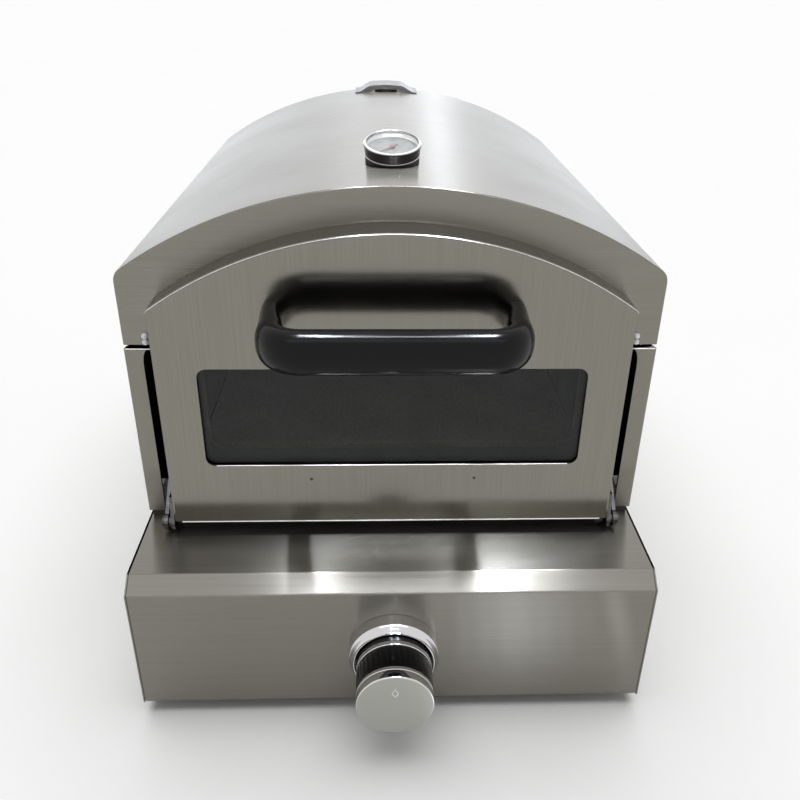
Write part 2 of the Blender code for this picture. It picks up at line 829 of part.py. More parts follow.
def build_stone_and_rails():
    wall = LINER_HALF - SHEET - GAP
    top = STONE_RAIL_Z
    front = FLANGE_Y + STONE_RAIL_FRONT
    rear = LINER_BACK_Y - STONE_RAIL_REAR
    for side, sign in (("left", -1), ("right", 1)):
        path = [
            (sign * wall, top - STONE_RAIL_HEIGHT),
            (sign * wall, top),
            (sign * (wall - STONE_RAIL_WIDTH), top),
        ]
        path = rounded(path, BEND_RADIUS, BEND_STEPS, closed=False)
        rail = folded(f"stone_rail_{side}", path, "Y", front, rear, -sign)
        part(rail, "dark_steel")
    outline = rectangle(-STONE_HALF, STONE_HALF, FLANGE_Y + STONE_FRONT, LINER_BACK_Y - STONE_REAR)
    outline = rounded(outline, HEM)
    stone = prism("pizza_stone", outline, "Z", top + GAP, top + GAP + STONE_THICKNESS)
    part(bevelled(stone, STONE_EDGE, 1), "stone")


def build_flame_shield():
    half = FLAME_HALF + SHIELD_LAP
    low = LINER_FLOOR_Z + SHEET + GAP
    front = FLAME_FRONT_Y - SHIELD_LAP
    rear = FLAME_REAR_Y + SHIELD_LAP
    top = low + SHIELD_HEIGHT
    row_pitch = (rear - front) / (SHIELD_SLOT_ROWS + 1)
    slot_length = row_pitch - SHIELD_SLOT_BRIDGE
    path = [(-half, low), (-half, top), (half, top), (half, low)]
    path = rounded(path, BEND_RADIUS, BEND_STEPS, closed=False)
    shield = folded("flame_shield", path, "Y", front, rear, 1)
    slots = []
    for row in range(SHIELD_SLOT_ROWS):
        y = front + row_pitch * (row + 1)
        for column in range(SHIELD_SLOT_COLUMNS):
            x = half * (2 * (column + 1) / (SHIELD_SLOT_COLUMNS + 1) - 1)
            outline = rectangle(
                x - SHIELD_SLOT_WIDTH / 2,
                x + SHIELD_SLOT_WIDTH / 2,
                y - slot_length / 2,
                y + slot_length / 2,
            )
            name = f"shield_slot_{row + 1}_{column + 1}"
            slots.append(prism(name, outline, "Z", top - SHEET - OVERRUN, top + OVERRUN))
    part(cut(shield, *slots), "dark_steel")


# Hood


def gauge_frame():
    """The thermometer's place on the crown: its axis leans to the front."""
    place = Matrix.Translation((0.0, FLANGE_Y + GAUGE_SETBACK, CROWN_Z))
    return place @ Matrix.Rotation(GAUGE_TILT, 4, "X")


def gauge_hole(name, radius):
    frame = gauge_frame()
    low = frame @ Vector((0.0, 0.0, -PROBE_LENGTH))
    high = frame @ Vector((0.0, 0.0, GAUGE_BASE))
    return rod(name, radius, low, high, SMALL_STEPS)


def flue_hole(name, radius):
    y = BACK_Y - FLUE_SETBACK
    return rod(name, radius, (0.0, y, SHOULDER_Z), (0.0, y, CROWN_Z + OVERRUN), FINE_STEPS)


def build_hood_shell():
    shell = prism("hood_shell", hood_outline(0.0, HOOD_Z), "Y", FLANGE_Y, BACK_Y)
    bevelled(shell, HOOD_EDGE, 2)
    hollow = prism(
        "hood_hollow",
        hood_outline(SHEET, HOOD_Z - OVERRUN),
        "Y",
        FLANGE_Y + SHEET,
        BACK_Y + OVERRUN,
    )
    corner = DOOR_CORNER
    mouth = prism(
        "hood_mouth",
        door_outline(DOOR_LAP, HOOD_Z - OVERRUN, corner),
        "Y",
        FLANGE_Y - OVERRUN,
        FLANGE_Y + SHEET + OVERRUN,
    )
    cut(shell, hollow, mouth)
    cut(shell, gauge_hole("gauge_hole", PROBE_RADIUS + PROBE_CLEARANCE))
    cut(shell, flue_hole("flue_hole", FLUE_RADIUS + GAP))
    part(shell, "brushed")


def build_hood_back():
    outline = hood_outline(SHEET + GAP, SEAM_Z + GAP)
    back = prism("hood_back", outline, "Y", BACK_Y - SHEET - GAP, BACK_Y - GAP)
    part(back, "brushed")


def liner_arch(inset):
    half = LINER_HALF - inset
    crown = CROWN_Z - HOOD_CAVITY - inset
    return arch_outline(half, SEAM_Z + GAP, SHOULDER_Z - HOOD_CAVITY / 2, crown, SHOULDER_RADIUS - inset)


def build_hood_liner():
    front = FLANGE_Y + SHEET + GAP
    rear = BACK_Y - SHEET - 2 * GAP
    liner = folded("hood_liner", liner_arch(0.0), "Y", front, rear, 1)
    cut(liner, gauge_hole("liner_gauge_hole", PROBE_RADIUS + PROBE_CLEARANCE))
    cut(liner, flue_hole("liner_flue_hole", FLUE_RADIUS + GAP))
    part(liner, "dark_steel")


def build_bumpers():
    """White silicone stops beside the door: two domes on one foot, on each side."""
    for side, sign in (("left", -1), ("right", 1)):
        x = sign * (BODY_HALF - BUMPER_INSET)
        z = SEAM_Z + BUMPER_RAISE
        face = FLANGE_Y - GAP
        half = BUMPER_RADIUS + GAP
        tall = BUMPER_PITCH / 2 + half
        foot = rounded(rectangle(x - half, x + half, z - tall, z + tall), BUMPER_RADIUS / 2, SLOT_STEPS)
        bumper = prism(f"hood_bumper_{side}", foot, "Y", face - BUMPER_BASE, face)
        domes = []
        for name, shift in (("lower", -BUMPER_PITCH / 2), ("upper", BUMPER_PITCH / 2)):
            profile = [(0.0, BUMPER_RADIUS)]
            for step in range(1, BEND_STEPS + 1):
                angle = math.pi / 2 * (1 - step / BEND_STEPS)
                profile.append((BUMPER_RADIUS * math.cos(angle), BUMPER_RADIUS * math.sin(angle)))
            profile.append((BUMPER_RADIUS, -BUMPER_BASE / 2))
            profile.append((0.0, -BUMPER_BASE / 2))
            dome = turned(f"bumper_dome_{name}_{side}", profile, SMALL_STEPS)
            dome.location = (x, face - BUMPER_BASE, z + shift)
            dome.rotation_euler = (math.pi / 2, 0.0, 0.0)
            domes.append(dome)
        part(join(bumper, *domes), "silicone")


def crown_height(x):
    """The height of the hood's outer skin beside its crown line."""
    reach = BODY_HALF - SHOULDER_RADIUS
    wide = (reach**2 + CROWN_RISE**2 - SHOULDER_RADIUS**2) / (2 * (CROWN_RISE - SHOULDER_RADIUS))
    return CROWN_Z - wide + math.sqrt(wide**2 - x**2)


def build_flue():
    flange_low = CROWN_Z + GAP
    flange_high = flange_low + FLUE_WALL
    top = CROWN_Z + FLUE_RISE
    bottom = CROWN_Z - HOOD_CAVITY - SHEET - FLUE_FLANGE
    outer = FLUE_RADIUS
    profile = [
        (outer - FLUE_WALL, top),
        (outer, top),
        (outer, flange_high),
        (outer + FLUE_FLANGE, flange_high),
        (outer + FLUE_FLANGE, flange_low),
        (outer, flange_low),
        (outer, bottom),
        (outer - FLUE_WALL, bottom),
    ]
    collar = turned("flue_collar", profile, SMALL_STEPS * 3 // 2, ring=True)
    collar.location = (0.0, BACK_Y - FLUE_SETBACK, 0.0)
    part(collar, "plain_steel")
    part(build_cowl(), "brushed")


def build_cowl():
    """A low bridge over the flue whose feet lie along the hood, with a slot in its front wall."""
    top = CROWN_Z + COWL_RISE
    half = COWL_WIDTH / 2
    crest = COWL_TOP_WIDTH / 2
    foot = crown_height(half) + GAP
    toe = crown_height(half + COWL_FOOT) + GAP
    path = [
        (-half - COWL_FOOT, toe),
        (-half, foot),
        (-crest, top - SHEET),
        (0.0, top),
        (crest, top - SHEET),
        (half, foot),
        (half + COWL_FOOT, toe),
    ]
    path = rounded(path, COWL_BEND, BEND_STEPS, closed=False)
    rear = BACK_Y + COWL_OVERHANG
    front = rear - COWL_DEPTH
    cowl = folded("flue_cowl", path, "Y", front, rear, -1)
    outline = [(x, z + SHEET / 2) for x, z in reversed(path) if abs(x) <= half]
    for step in range(COWL_WALL_STEPS + 1):
        x = half * (2 * step / COWL_WALL_STEPS - 1)
        outline.append((x, crown_height(x) + GAP))
    wall = prism("cowl_front", outline, "Y", front + GAP, front + GAP + SHEET)
    slot_foot = crown_height(COWL_SLOT_WIDTH / 2) + GAP
    slot = [(-COWL_SLOT_WIDTH / 2, slot_foot - OVERRUN), (COWL_SLOT_WIDTH / 2, slot_foot - OVERRUN)]
    for step in range(CORNER_STEPS * 2 + 1):
        angle = math.pi * step / (CORNER_STEPS * 2)
        x = COWL_SLOT_WIDTH / 2 * math.cos(angle)
        slot.append((x, slot_foot + GAP + COWL_SLOT_HEIGHT * math.sin(angle)))
    opening = prism("cowl_slot", slot, "Y", front - OVERRUN, front + SHEET + OVERRUN)
    join(cowl, wall)
    return cut(cowl, opening)


# Thermometer


def build_thermometer():
    mount = empty(
        "thermometer_mount", (0.0, FLANGE_Y + GAUGE_SETBACK, CROWN_Z), (GAUGE_TILT, 0.0, 0.0)
    )
    base = GAUGE_BASE
    top = base + GAUGE_HEIGHT
    collar_radius = GAUGE_RADIUS - GAUGE_COLLAR_STEP
    collar = turned(
        "thermometer_collar",
        [(0.0, base - GAP), (collar_radius, base - GAP), (collar_radius, -base), (0.0, -base)],
        FINE_STEPS,
        parent=mount,
    )
    hood_core = prism(
        "hood_core",
        hood_outline(-GAP, HOOD_Z),
        "Y",
        FLANGE_Y,
        FLANGE_Y + 2 * GAUGE_SETBACK,
    )
    cut(collar, hood_core, gauge_hole("collar_bore", PROBE_RADIUS + GAP))
    part(collar, "rubber")
    rim = GAUGE_RIM_RADIUS
    bore = GAUGE_RADIUS - GAUGE_WALL
    floor = base + GAUGE_FLOOR
    case = turned(
        "thermometer_case",
        [
            (PROBE_RADIUS, floor),
            (bore, floor),
            (bore, top),
            (rim - GAUGE_EDGE, top),
            (rim, top - GAUGE_EDGE),
            (rim, top - GAUGE_RIM_HEIGHT),
            (GAUGE_RADIUS, top - GAUGE_RIM_HEIGHT - GAUGE_EDGE),
            (GAUGE_RADIUS, base + GAUGE_EDGE),
            (GAUGE_RADIUS - GAUGE_EDGE, base),
            (PROBE_RADIUS, base),
        ],
        ring=True,
        parent=mount,
    )
    part(case, "bright")
    dial_low = floor + GAP
    dial_high = dial_low + DIAL_THICKNESS
    face = bore - GAP
    pin_clear = POINTER_HUB_RADIUS / 2 + GAP
    dial = turned(
        "thermometer_dial",
        [(pin_clear, dial_high), (face, dial_high), (face, dial_low), (pin_clear, dial_low)],
        FINE_STEPS,
        ring=True,
        parent=mount,
    )
    part(dial, "dial")
    part(build_pointer(mount, dial_low, dial_high), "red_paint")
    lens_high = top - LENS_DROP
    lens_low = lens_high - LENS_THICKNESS
    lens = turned(
        "thermometer_glass",
        [(0.0, lens_high), (face, lens_high), (face, lens_low), (0.0, lens_low)],
        FINE_STEPS,
        parent=mount,
    )
    part(lens, "clear_glass")
    probe = turned(
        "thermometer_probe",
        [
            (0.0, base - GAP),
            (PROBE_RADIUS, base - GAP),
            (PROBE_RADIUS, -PROBE_LENGTH + PROBE_RADIUS),
            (PROBE_RADIUS / 2, -PROBE_LENGTH),
            (0.0, -PROBE_LENGTH),
        ],
        SMALL_STEPS,
        parent=mount,
    )
    part(probe, "plain_steel")
    nut_top = -(SHEET + GAP + GAUGE_NUT_RADIUS * math.sin(GAUGE_TILT)) / math.cos(GAUGE_TILT)
    nut = turned(
        "thermometer_nut",
        [
            (0.0, nut_top),
            (GAUGE_NUT_RADIUS, nut_top),
            (GAUGE_NUT_RADIUS, nut_top - GAUGE_NUT_HEIGHT),
            (0.0, nut_top - GAUGE_NUT_HEIGHT),
        ],
        HEXAGON,
        parent=mount,
    )
    part(cut(nut, gauge_hole("nut_bore", PROBE_RADIUS + GAP)), "brass")


def build_pointer(mount, dial_low, dial_high):
    """A tapered hand with a tail, on a hub whose pin runs down through the dial."""
    blade_low = dial_high + POINTER_RISE
    blade_high = blade_low + POINTER_THICKNESS
    half = POINTER_WIDTH / 2
    outline = [
        (-half, -POINTER_TAIL),
        (half, -POINTER_TAIL),
        (half, 0.0),
        (half / 4, POINTER_LENGTH),
        (-half / 4, POINTER_LENGTH),
        (-half, 0.0),
    ]
    pointer = prism("thermometer_pointer", outline, "Z", blade_low, blade_high)
    pointer.parent = mount
    pointer.rotation_euler = (0.0, 0.0, POINTER_REST)
    hub = turned(
        "pointer_hub",
        [
            (0.0, blade_high + GAP),
            (POINTER_HUB_RADIUS, blade_high + GAP),
            (POINTER_HUB_RADIUS, dial_high + GAP),
            (POINTER_HUB_RADIUS / 2, dial_high + GAP),
            (POINTER_HUB_RADIUS / 2, dial_low),
            (0.0, dial_low),
        ],
        SMALL_STEPS,
        parent=mount,
    )
    return join(pointer, hub)


# Door


def build_door_skin(hinge):
    skin = prism(
        "door_skin",
        door_outline(0.0, DOOR_Z, DOOR_CORNER),
        "Y",
        DOOR_FACE_Y,
        DOOR_REAR_Y,
        HINGE_POINT,
    )
    bevelled(skin, DOOR_EDGE, 2)
    hollow = prism(
        "door_hollow",
        door_outline(SHEET, DOOR_Z + SHEET, DOOR_CORNER),
        "Y",
        DOOR_FACE_Y + SHEET,
        DOOR_REAR_Y + OVERRUN,
    )
    cut(skin, hollow, window_cutter("window_hole", 0.0, DOOR_FACE_Y - OVERRUN, DOOR_FACE_Y + OVERRUN))
    hang(skin, hinge)
    part(skin, "brushed")


def hang(obj, hinge):
    """Parents a door piece to the hinge line and leaves it where it is."""
    obj.parent = hinge
    obj.matrix_parent_inverse = Matrix.Translation(HINGE_POINT).inverted()


def window_outline(grow, corner):
    half = WINDOW_HALF + grow
    outline = rectangle(-half, half, WINDOW_Z - grow, WINDOW_Z + WINDOW_HEIGHT + grow)
    return rounded(outline, corner)


def window_cutter(name, grow, low, high):
    return prism(name, window_outline(grow, WINDOW_CORNER), "Y", low, high)


def build_door_inside(hinge):
    inset = SHEET + GAP
    rear = DOOR_REAR_Y - INNER_RECESS
    inner = prism(
        "door_inner",
        door_outline(inset, DOOR_Z + inset, DOOR_CORNER),
        "Y",
        rear - SHEET,
        rear,
    )
    cut(inner, window_cutter("inner_window", 0.0, rear - SHEET - OVERRUN, rear + OVERRUN))
    hang(inner, hinge)
    part(inner, "plain_steel")
    gasket_front = DOOR_FACE_Y + SHEET + GAP
    gasket_rear = gasket_front + GASKET_THICKNESS
    gasket = prism(
        "window_gasket", window_outline(GASKET_WIDTH, WINDOW_CORNER), "Y", gasket_front, gasket_rear
    )
    opening = WINDOW_CORNER / 4
    cut(gasket, window_cutter("gasket_hole", opening, gasket_front - OVERRUN, gasket_rear + OVERRUN))
    hang(gasket, hinge)
    part(gasket, "rubber")
    glass_front = gasket_rear + GAP
    glass_rear = glass_front + GLASS_THICKNESS
    glass = prism(
        "window_glass", window_outline(GLASS_LAP, WINDOW_CORNER), "Y", glass_front, glass_rear
    )
    hang(glass, hinge)
    part(glass, "glass")
    lap = GLASS_LAP + GAP
    retainer_rear = glass_rear + GAP + RETAINER_WALL
    retainer = prism(
        "window_retainer",
        window_outline(lap + RETAINER_WALL, WINDOW_CORNER),
        "Y",
        gasket_front,
        retainer_rear,
    )
    pocket = window_cutter("glass_pocket", lap, gasket_front - OVERRUN, glass_rear + GAP)
    lip = GLASS_LAP - RETAINER_LIP
    frame_hole = window_cutter("retainer_hole", lip, gasket_front, retainer_rear + OVERRUN)
    cut(retainer, pocket, frame_hole)
    hang(retainer, hinge)
    part(retainer, "plain_steel")


def section(half_width, half_height):
    """A rounded upright section, squarer than an ellipse."""
    points = []
    for i in range(HANDLE_SIDES):
        angle = 2 * math.pi * i / HANDLE_SIDES
        across = math.copysign(abs(math.cos(angle)) ** (2 / SECTION_POWER), math.cos(angle))
        upward = math.copysign(abs(math.sin(angle)) ** (2 / SECTION_POWER), math.sin(angle))
        points.append((half_width * across, half_height * upward))
    return points


def handle_path():
    """The handle's centre line seen from above, from the left leg's foot to the right one's."""
    leg = HANDLE_WIDTH / 2 - BAR_DEPTH / 2
    foot = DOOR_FACE_Y - GAP
    bar = DOOR_FACE_Y - HANDLE_REACH
    corners = [(-leg, foot), (-leg, bar), (leg, bar), (leg, foot)]
    inner_bend = HANDLE_CORNER - BAR_DEPTH / 2
    return rounded(corners, inner_bend, HANDLE_CORNER_STEPS, closed=False)


def build_handle(hinge):
    """A loft along the U-shaped path: slim legs that swell into a full bar."""
    path = handle_path()
    bar_y = path[HANDLE_CORNER_STEPS + 1][1]
    foot_y = path[0][1]
    bm = bmesh.new()
    rings = []
    last = len(path) - 1
    for i, (x, y) in enumerate(path):
        before = path[max(i - 1, 0)]
        after = path[min(i + 1, last)]
        along = unit(before, after)
        across = (along[1], -along[0])
        swell = min(1.0, (foot_y - y) / (foot_y - bar_y))
        swell = swell * swell * (3 - 2 * swell)
        half_width = (LEG_WIDTH + (BAR_DEPTH - LEG_WIDTH) * swell) / 2
        half_height = (LEG_HEIGHT + (BAR_HEIGHT - LEG_HEIGHT) * swell) / 2
        outward = (BAR_DEPTH / 2 - half_width) * (1 - swell)
        centre = (x - across[0] * outward, y - across[1] * outward)
        rings.append(
            [
                bm.verts.new((centre[0] + across[0] * a, centre[1] + across[1] * a, HANDLE_Z + b))
                for a, b in section(half_width, half_height)
            ]
        )
    for ring, following in zip(rings, rings[1:]):
        for i in range(HANDLE_SIDES):
            j = (i + 1) % HANDLE_SIDES
            bm.faces.new((ring[i], ring[j], following[j], following[i]))
    bm.faces.new(rings[0])
    bm.faces.new(rings[-1])
    handle = place_object("door_handle", mesh_from("door_handle", bm))
    hang(handle, hinge)
    part(handle, "black_plastic")


def eye_outline(y, z, radius, tip, height):
    """A strap with a round eye below and a narrower tip above, seen from the side."""
    points = [(y + tip / 2, z + height), (y - tip / 2, z + height)]
    for step in range(2 * CORNER_STEPS + 1):
        angle = math.pi + math.pi * step / (2 * CORNER_STEPS)
        points.append((y + radius * math.cos(angle), z + radius * math.sin(angle)))
    return points


def build_hinges(hinge):
    wall = DOOR_HALF
    hole = HINGE_PIN_RADIUS + HINGE_CLEARANCE
    arm_low = wall + GAP
    arm_high = arm_low + ARM_THICKNESS
    bracket_low = arm_high + HINGE_SPACE
    bracket_high = bracket_low + BRACKET_THICKNESS
    for side, sign in (("left", -1), ("right", 1)):
        arm = prism(
            f"hinge_arm_{side}",
            eye_outline(HINGE_Y, HINGE_Z, ARM_EYE_RADIUS, ARM_TIP_WIDTH, ARM_HEIGHT),
            "X",
            *sorted((sign * arm_low, sign * arm_high)),
        )
        bore = rod(
            f"arm_bore_{side}",
            hole,
            (sign * (arm_low - OVERRUN), HINGE_Y, HINGE_Z),
            (sign * (arm_high + OVERRUN), HINGE_Y, HINGE_Z),
            SMALL_STEPS,
        )
        cut(arm, bore)
        hang(arm, hinge)
        part(arm, "bright")
        build_hinge_bracket(side, sign, bracket_low, bracket_high, hole)
        build_hinge_pin(side, sign, arm_low, arm_high, bracket_low, bracket_high)


def build_hinge_bracket(side, sign, low, high, hole):
    """A cheek that comes out of the slot beside the chamber, folded out behind the front flange."""
    foot_y = FLANGE_Y + SHEET + GAP
    radius = BRACKET_EYE_RADIUS
    foot_low = BODY_Z + SHEET + GAP
    foot_high = foot_low + BRACKET_FOOT_HEIGHT
    outline = [
        (FLANGE_Y - GAP, foot_low),
        (foot_y + BRACKET_THICKNESS, foot_low),
        (foot_y + BRACKET_THICKNESS, foot_high),
        (foot_y, foot_high),
    ]
    for step in range(2 * CORNER_STEPS + 1):
        angle = math.pi / 2 + math.pi * step / (2 * CORNER_STEPS)
        outline.append((HINGE_Y + radius * math.cos(angle), HINGE_Z + radius * math.sin(angle)))
    cheek = prism(f"hinge_bracket_{side}", outline, "X", *sorted((sign * low, sign * high)))
    foot = block(
        f"bracket_foot_{side}",
        sorted((sign * (low + BRACKET_THICKNESS / 2), sign * (high + BRACKET_FOOT_WIDTH))),
        (foot_y, foot_y + BRACKET_THICKNESS),
        (foot_low, foot_high),
    )
    join(cheek, foot)
    bore = rod(
        f"bracket_bore_{side}",
        hole,
        (sign * (low - OVERRUN), HINGE_Y, HINGE_Z),
        (sign * (high + OVERRUN), HINGE_Y, HINGE_Z),
        SMALL_STEPS,
    )
    part(cut(cheek, bore), "plain_steel")


def build_hinge_pin(side, sign, arm_low, arm_high, bracket_low, bracket_high):
    """A shouldered pin, from its head outside the bracket to its end inside the arm."""
    profile = [
        (0.0, bracket_high + GAP + HINGE_HEAD),
        (HINGE_HEAD_RADIUS, bracket_high + GAP + HINGE_HEAD),
        (HINGE_HEAD_RADIUS, bracket_high + GAP),
        (HINGE_PIN_RADIUS, bracket_high + GAP),
        (HINGE_PIN_RADIUS, bracket_low - GAP),
        (HINGE_HEAD_RADIUS, bracket_low - GAP),
        (HINGE_HEAD_RADIUS, arm_high + GAP),
        (HINGE_PIN_RADIUS, arm_high + GAP),
        (HINGE_PIN_RADIUS, arm_low + GAP),
        (0.0, arm_low + GAP),
    ]
    pin = turned(f"hinge_pin_{side}", profile, SMALL_STEPS)
    pin.location = (0.0, HINGE_Y, HINGE_Z)
    pin.rotation_euler = (0.0, sign * math.pi / 2, 0.0)
    part(pin, "bright")


# Gas valve, knob, burner and gas line


def facing_front(name, location, parent=None):
    """An empty whose +Z points out of the front panel."""
    return empty(name, location, (math.pi / 2, 0.0, 0.0), parent)


def flat_cutter(name, flat, low, high):
    """What a shaft or a bore loses to its flat side."""
    wide = 2 * STEM_RADIUS
    return block(name, (-wide, wide), (flat, wide), (low, high))


def build_valve(front):
    """The tap body with its counterbore, its stem bore and the side port for the gas pipe."""
    flange = -SHEET - GAP
    end = flange - VALVE_LENGTH
    recess = flange - COLLAR_LENGTH - KNOB_TRAVEL + COLLAR_LENGTH / 2
    depth = -STEM_BEHIND - KNOB_TRAVEL - GAP * 2
    stem_bore = STEM_RADIUS + STEM_CLEARANCE
    valve = turned(
        "gas_valve",
        [
            (0.0, depth),
            (stem_bore, depth),
            (stem_bore, recess),
            (PANEL_HOLE_RADIUS, recess),
            (PANEL_HOLE_RADIUS, flange),
            (VALVE_FLANGE_RADIUS, flange),
            (VALVE_FLANGE_RADIUS, flange - VALVE_FLANGE),
            (VALVE_RADIUS, flange - VALVE_FLANGE),
            (VALVE_RADIUS, end),
            (0.0, end),
        ],
        FINE_STEPS,
        parent=front,
    )
    port_y = PANEL_Y + SHEET + GAP + VALVE_PORT_SETBACK
    port = rod(
        "valve_port",
        VALVE_PORT_RADIUS,
        (-VALVE_RADIUS / 2, port_y, KNOB_Z),
        (-VALVE_PORT_REACH, port_y, KNOB_Z),
        SMALL_STEPS,
    )
    part(join(valve, port), "brass")
    injector_high = end - GAP
    injector = turned(
        "injector",
        [
            (0.0, injector_high),
            (INJECTOR_RADIUS, injector_high),
            (INJECTOR_RADIUS, injector_high - INJECTOR_LENGTH / 2),
            (INJECTOR_TIP_RADIUS, injector_high - INJECTOR_LENGTH),
            (0.0, injector_high - INJECTOR_LENGTH),
        ],
        HEXAGON,
        parent=front,
    )
    part(injector, "brass")
    return port_y


def build_stem_and_knob(front):
    push = empty("knob_push_axis", (0.0, 0.0, 0.0), parent=front)
    turn = empty("knob_turn_axis", (0.0, 0.0, 0.0), parent=push)
    ring_low = GAP
    ring_high = ring_low + COLLAR_LENGTH
    collar = turned(
        "stem_collar",
        [
            (STEM_RADIUS + GAP, ring_high),
            (COLLAR_RADIUS, ring_high),
            (COLLAR_RADIUS, ring_low),
            (STEM_RADIUS + GAP, ring_low),
        ],
        SMALL_STEPS,
        ring=True,
        parent=push,
    )
    part(collar, "brass")
    stem_top = KNOB_REAR + STEM_INTO_KNOB
    stem = turned(
        "valve_stem",
        [(0.0, stem_top), (STEM_RADIUS, stem_top), (STEM_RADIUS, -STEM_BEHIND), (0.0, -STEM_BEHIND)],
        SMALL_STEPS,
        parent=turn,
    )
    flat = flat_cutter("stem_flat", STEM_FLAT, KNOB_REAR - GAP, stem_top + OVERRUN)
    flat.parent = turn
    part(cut(stem, flat), "plain_steel")
    build_knob(turn, stem_top)


def build_knob(turn, stem_top):
    cap_low = KNOB_REACH - CAP_LENGTH
    grip_top = cap_low - GAP
    ring_low = RING_AT
    ring_high = RING_AT + RING_LENGTH
    neck = GRIP_RADIUS - RING_DEPTH
    grip = turned(
        "knob_grip",
        [
            (0.0, grip_top),
            (GRIP_TIP_RADIUS, grip_top),
            (GRIP_RADIUS, ring_high + GAP),
            (neck, ring_high + GAP),
            (neck, ring_low - GAP),
            (GRIP_RADIUS, ring_low - GAP),
            (GRIP_RADIUS, KNOB_REAR),
            (0.0, KNOB_REAR),
        ],
        parent=turn,
    )
    bore = turned(
        "knob_bore",
        [
            (0.0, stem_top + GAP),
            (STEM_RADIUS + STEM_CLEARANCE, stem_top + GAP),
            (STEM_RADIUS + STEM_CLEARANCE, KNOB_REAR - OVERRUN),
            (0.0, KNOB_REAR - OVERRUN),
        ],
        SMALL_STEPS,
        parent=turn,
    )
    flat_at = STEM_FLAT + STEM_CLEARANCE
    bore_flat = flat_cutter("bore_flat", flat_at, KNOB_REAR - 2 * OVERRUN, stem_top + OVERRUN)
    bore_flat.parent = turn
    cut(bore, bore_flat)
    part(cut(grip, bore), "black_plastic")
    outer = GRIP_RADIUS
    ring = turned(
        "knob_ring",
        [
            (neck + GAP, ring_high),
            (outer - RING_EDGE, ring_high),
            (outer, ring_high - RING_EDGE),
            (outer, ring_low + RING_EDGE),
            (outer - RING_EDGE, ring_low),
            (neck + GAP, ring_low),
        ],
        ring=True,
        parent=turn,
    )
    part(ring, "bright")
    cap = turned(
        "knob_cap",
        [
            (0.0, KNOB_REACH),
            (CAP_RADIUS - CAP_EDGE, KNOB_REACH),
            (CAP_RADIUS, KNOB_REACH - CAP_EDGE),
            (CAP_RADIUS, cap_low),
            (0.0, cap_low),
        ],
        parent=turn,
    )
    mark = prism(
        "cap_mark",
        [
            (0.0, MARK_AT + MARK_LENGTH / 2),
            (-MARK_WIDTH / 2, MARK_AT - MARK_LENGTH / 2),
            (MARK_WIDTH / 2, MARK_AT - MARK_LENGTH / 2),
        ],
        "Z",
        KNOB_REACH - CAP_EDGE,
        KNOB_REACH + MARK_HEIGHT,
    )
    mark.parent = turn
    part(join(cap, mark), "bright")


def build_bezel(front):
    inner = BEZEL_RADIUS - BEZEL_WALL
    bezel = turned(
        "knob_bezel",
        [
            (BEZEL_MOUTH_RADIUS, BEZEL_HEIGHT),
            (BEZEL_RADIUS, BEZEL_SKIRT),
            (BEZEL_RADIUS, GAP),
            (inner, GAP),
            (inner, BEZEL_SKIRT - BEZEL_WALL),
            (BEZEL_MOUTH_RADIUS, BEZEL_HEIGHT - BEZEL_WALL),
        ],
        ring=True,
        parent=front,
    )
    part(bezel, "bright")


def burner_corners():
    """The mixing tube's run from the valve, its climb, and the loop under the flame opening."""
    start = PANEL_Y + BURNER_START
    z = BURNER_Z
    half = BURNER_HALF
    near = FLAME_FRONT_Y + BURNER_END_INSET
    far = FLAME_REAR_Y - BURNER_END_INSET
    closing = BURNER_RADIUS + BURNER_END_GAP
    return [
        (0.0, start, KNOB_Z),
        (0.0, PANEL_Y + BURNER_RISE_FROM, KNOB_Z),
        (0.0, near - BURNER_RISE_END, z),
        (0.0, near, z),
        (half, near, z),
        (half, far, z),
        (-half, far, z),
        (-half, near, z),
        (-closing, near, z),
    ]


def build_burner():
    corners = burner_corners()
    burner = tube("burner", path_3d(corners, BURNER_BEND_RADIUS, BURNER_BEND_STEPS), BURNER_RADIUS, 2)
    start = corners[0]
    mouth = rod(
        "burner_mouth",
        BURNER_RADIUS - BURNER_WALL,
        (0.0, start[1] - OVERRUN, KNOB_Z),
        (0.0, start[1] + BURNER_MOUTH_DEPTH, KNOB_Z),
        SMALL_STEPS,
    )
    part(cut(burner, mouth), "plain_steel")
    floor = BASE_Z + 3 * SHEET + 2 * GAP
    loop_near = corners[4][1]
    loop_far = corners[5][1]
    top = corners[3][2] - BURNER_RADIUS - GAP
    x = -BURNER_HALF / 2
    for name, y, turn, fold in (
        ("front", loop_near, -1, IGNITER_OFFSET + BURNER_BRACKET_FOLD / 2),
        ("rear", loop_far, 1, BURNER_BRACKET_FOLD / 2),
    ):
        path = [
            (y - turn * BURNER_BRACKET_FOLD, floor),
            (y, floor),
            (y, top),
            (y + turn * fold, top),
        ]
        path = rounded(path, BEND_RADIUS, BEND_STEPS, closed=False)
        bracket = folded(
            f"burner_bracket_{name}",
            path,
            "X",
            x - BURNER_BRACKET_WIDTH / 2,
            x + BURNER_BRACKET_WIDTH / 2,
            -turn,
        )
        if name == "front":
            hole = rod(
                "igniter_hole",
                IGNITER_RADIUS + GAP,
                (x, y - IGNITER_OFFSET, top - OVERRUN),
                (x, y - IGNITER_OFFSET, top + OVERRUN),
                SMALL_STEPS,
            )
            cut(bracket, hole)
        part(bracket, "plain_steel")


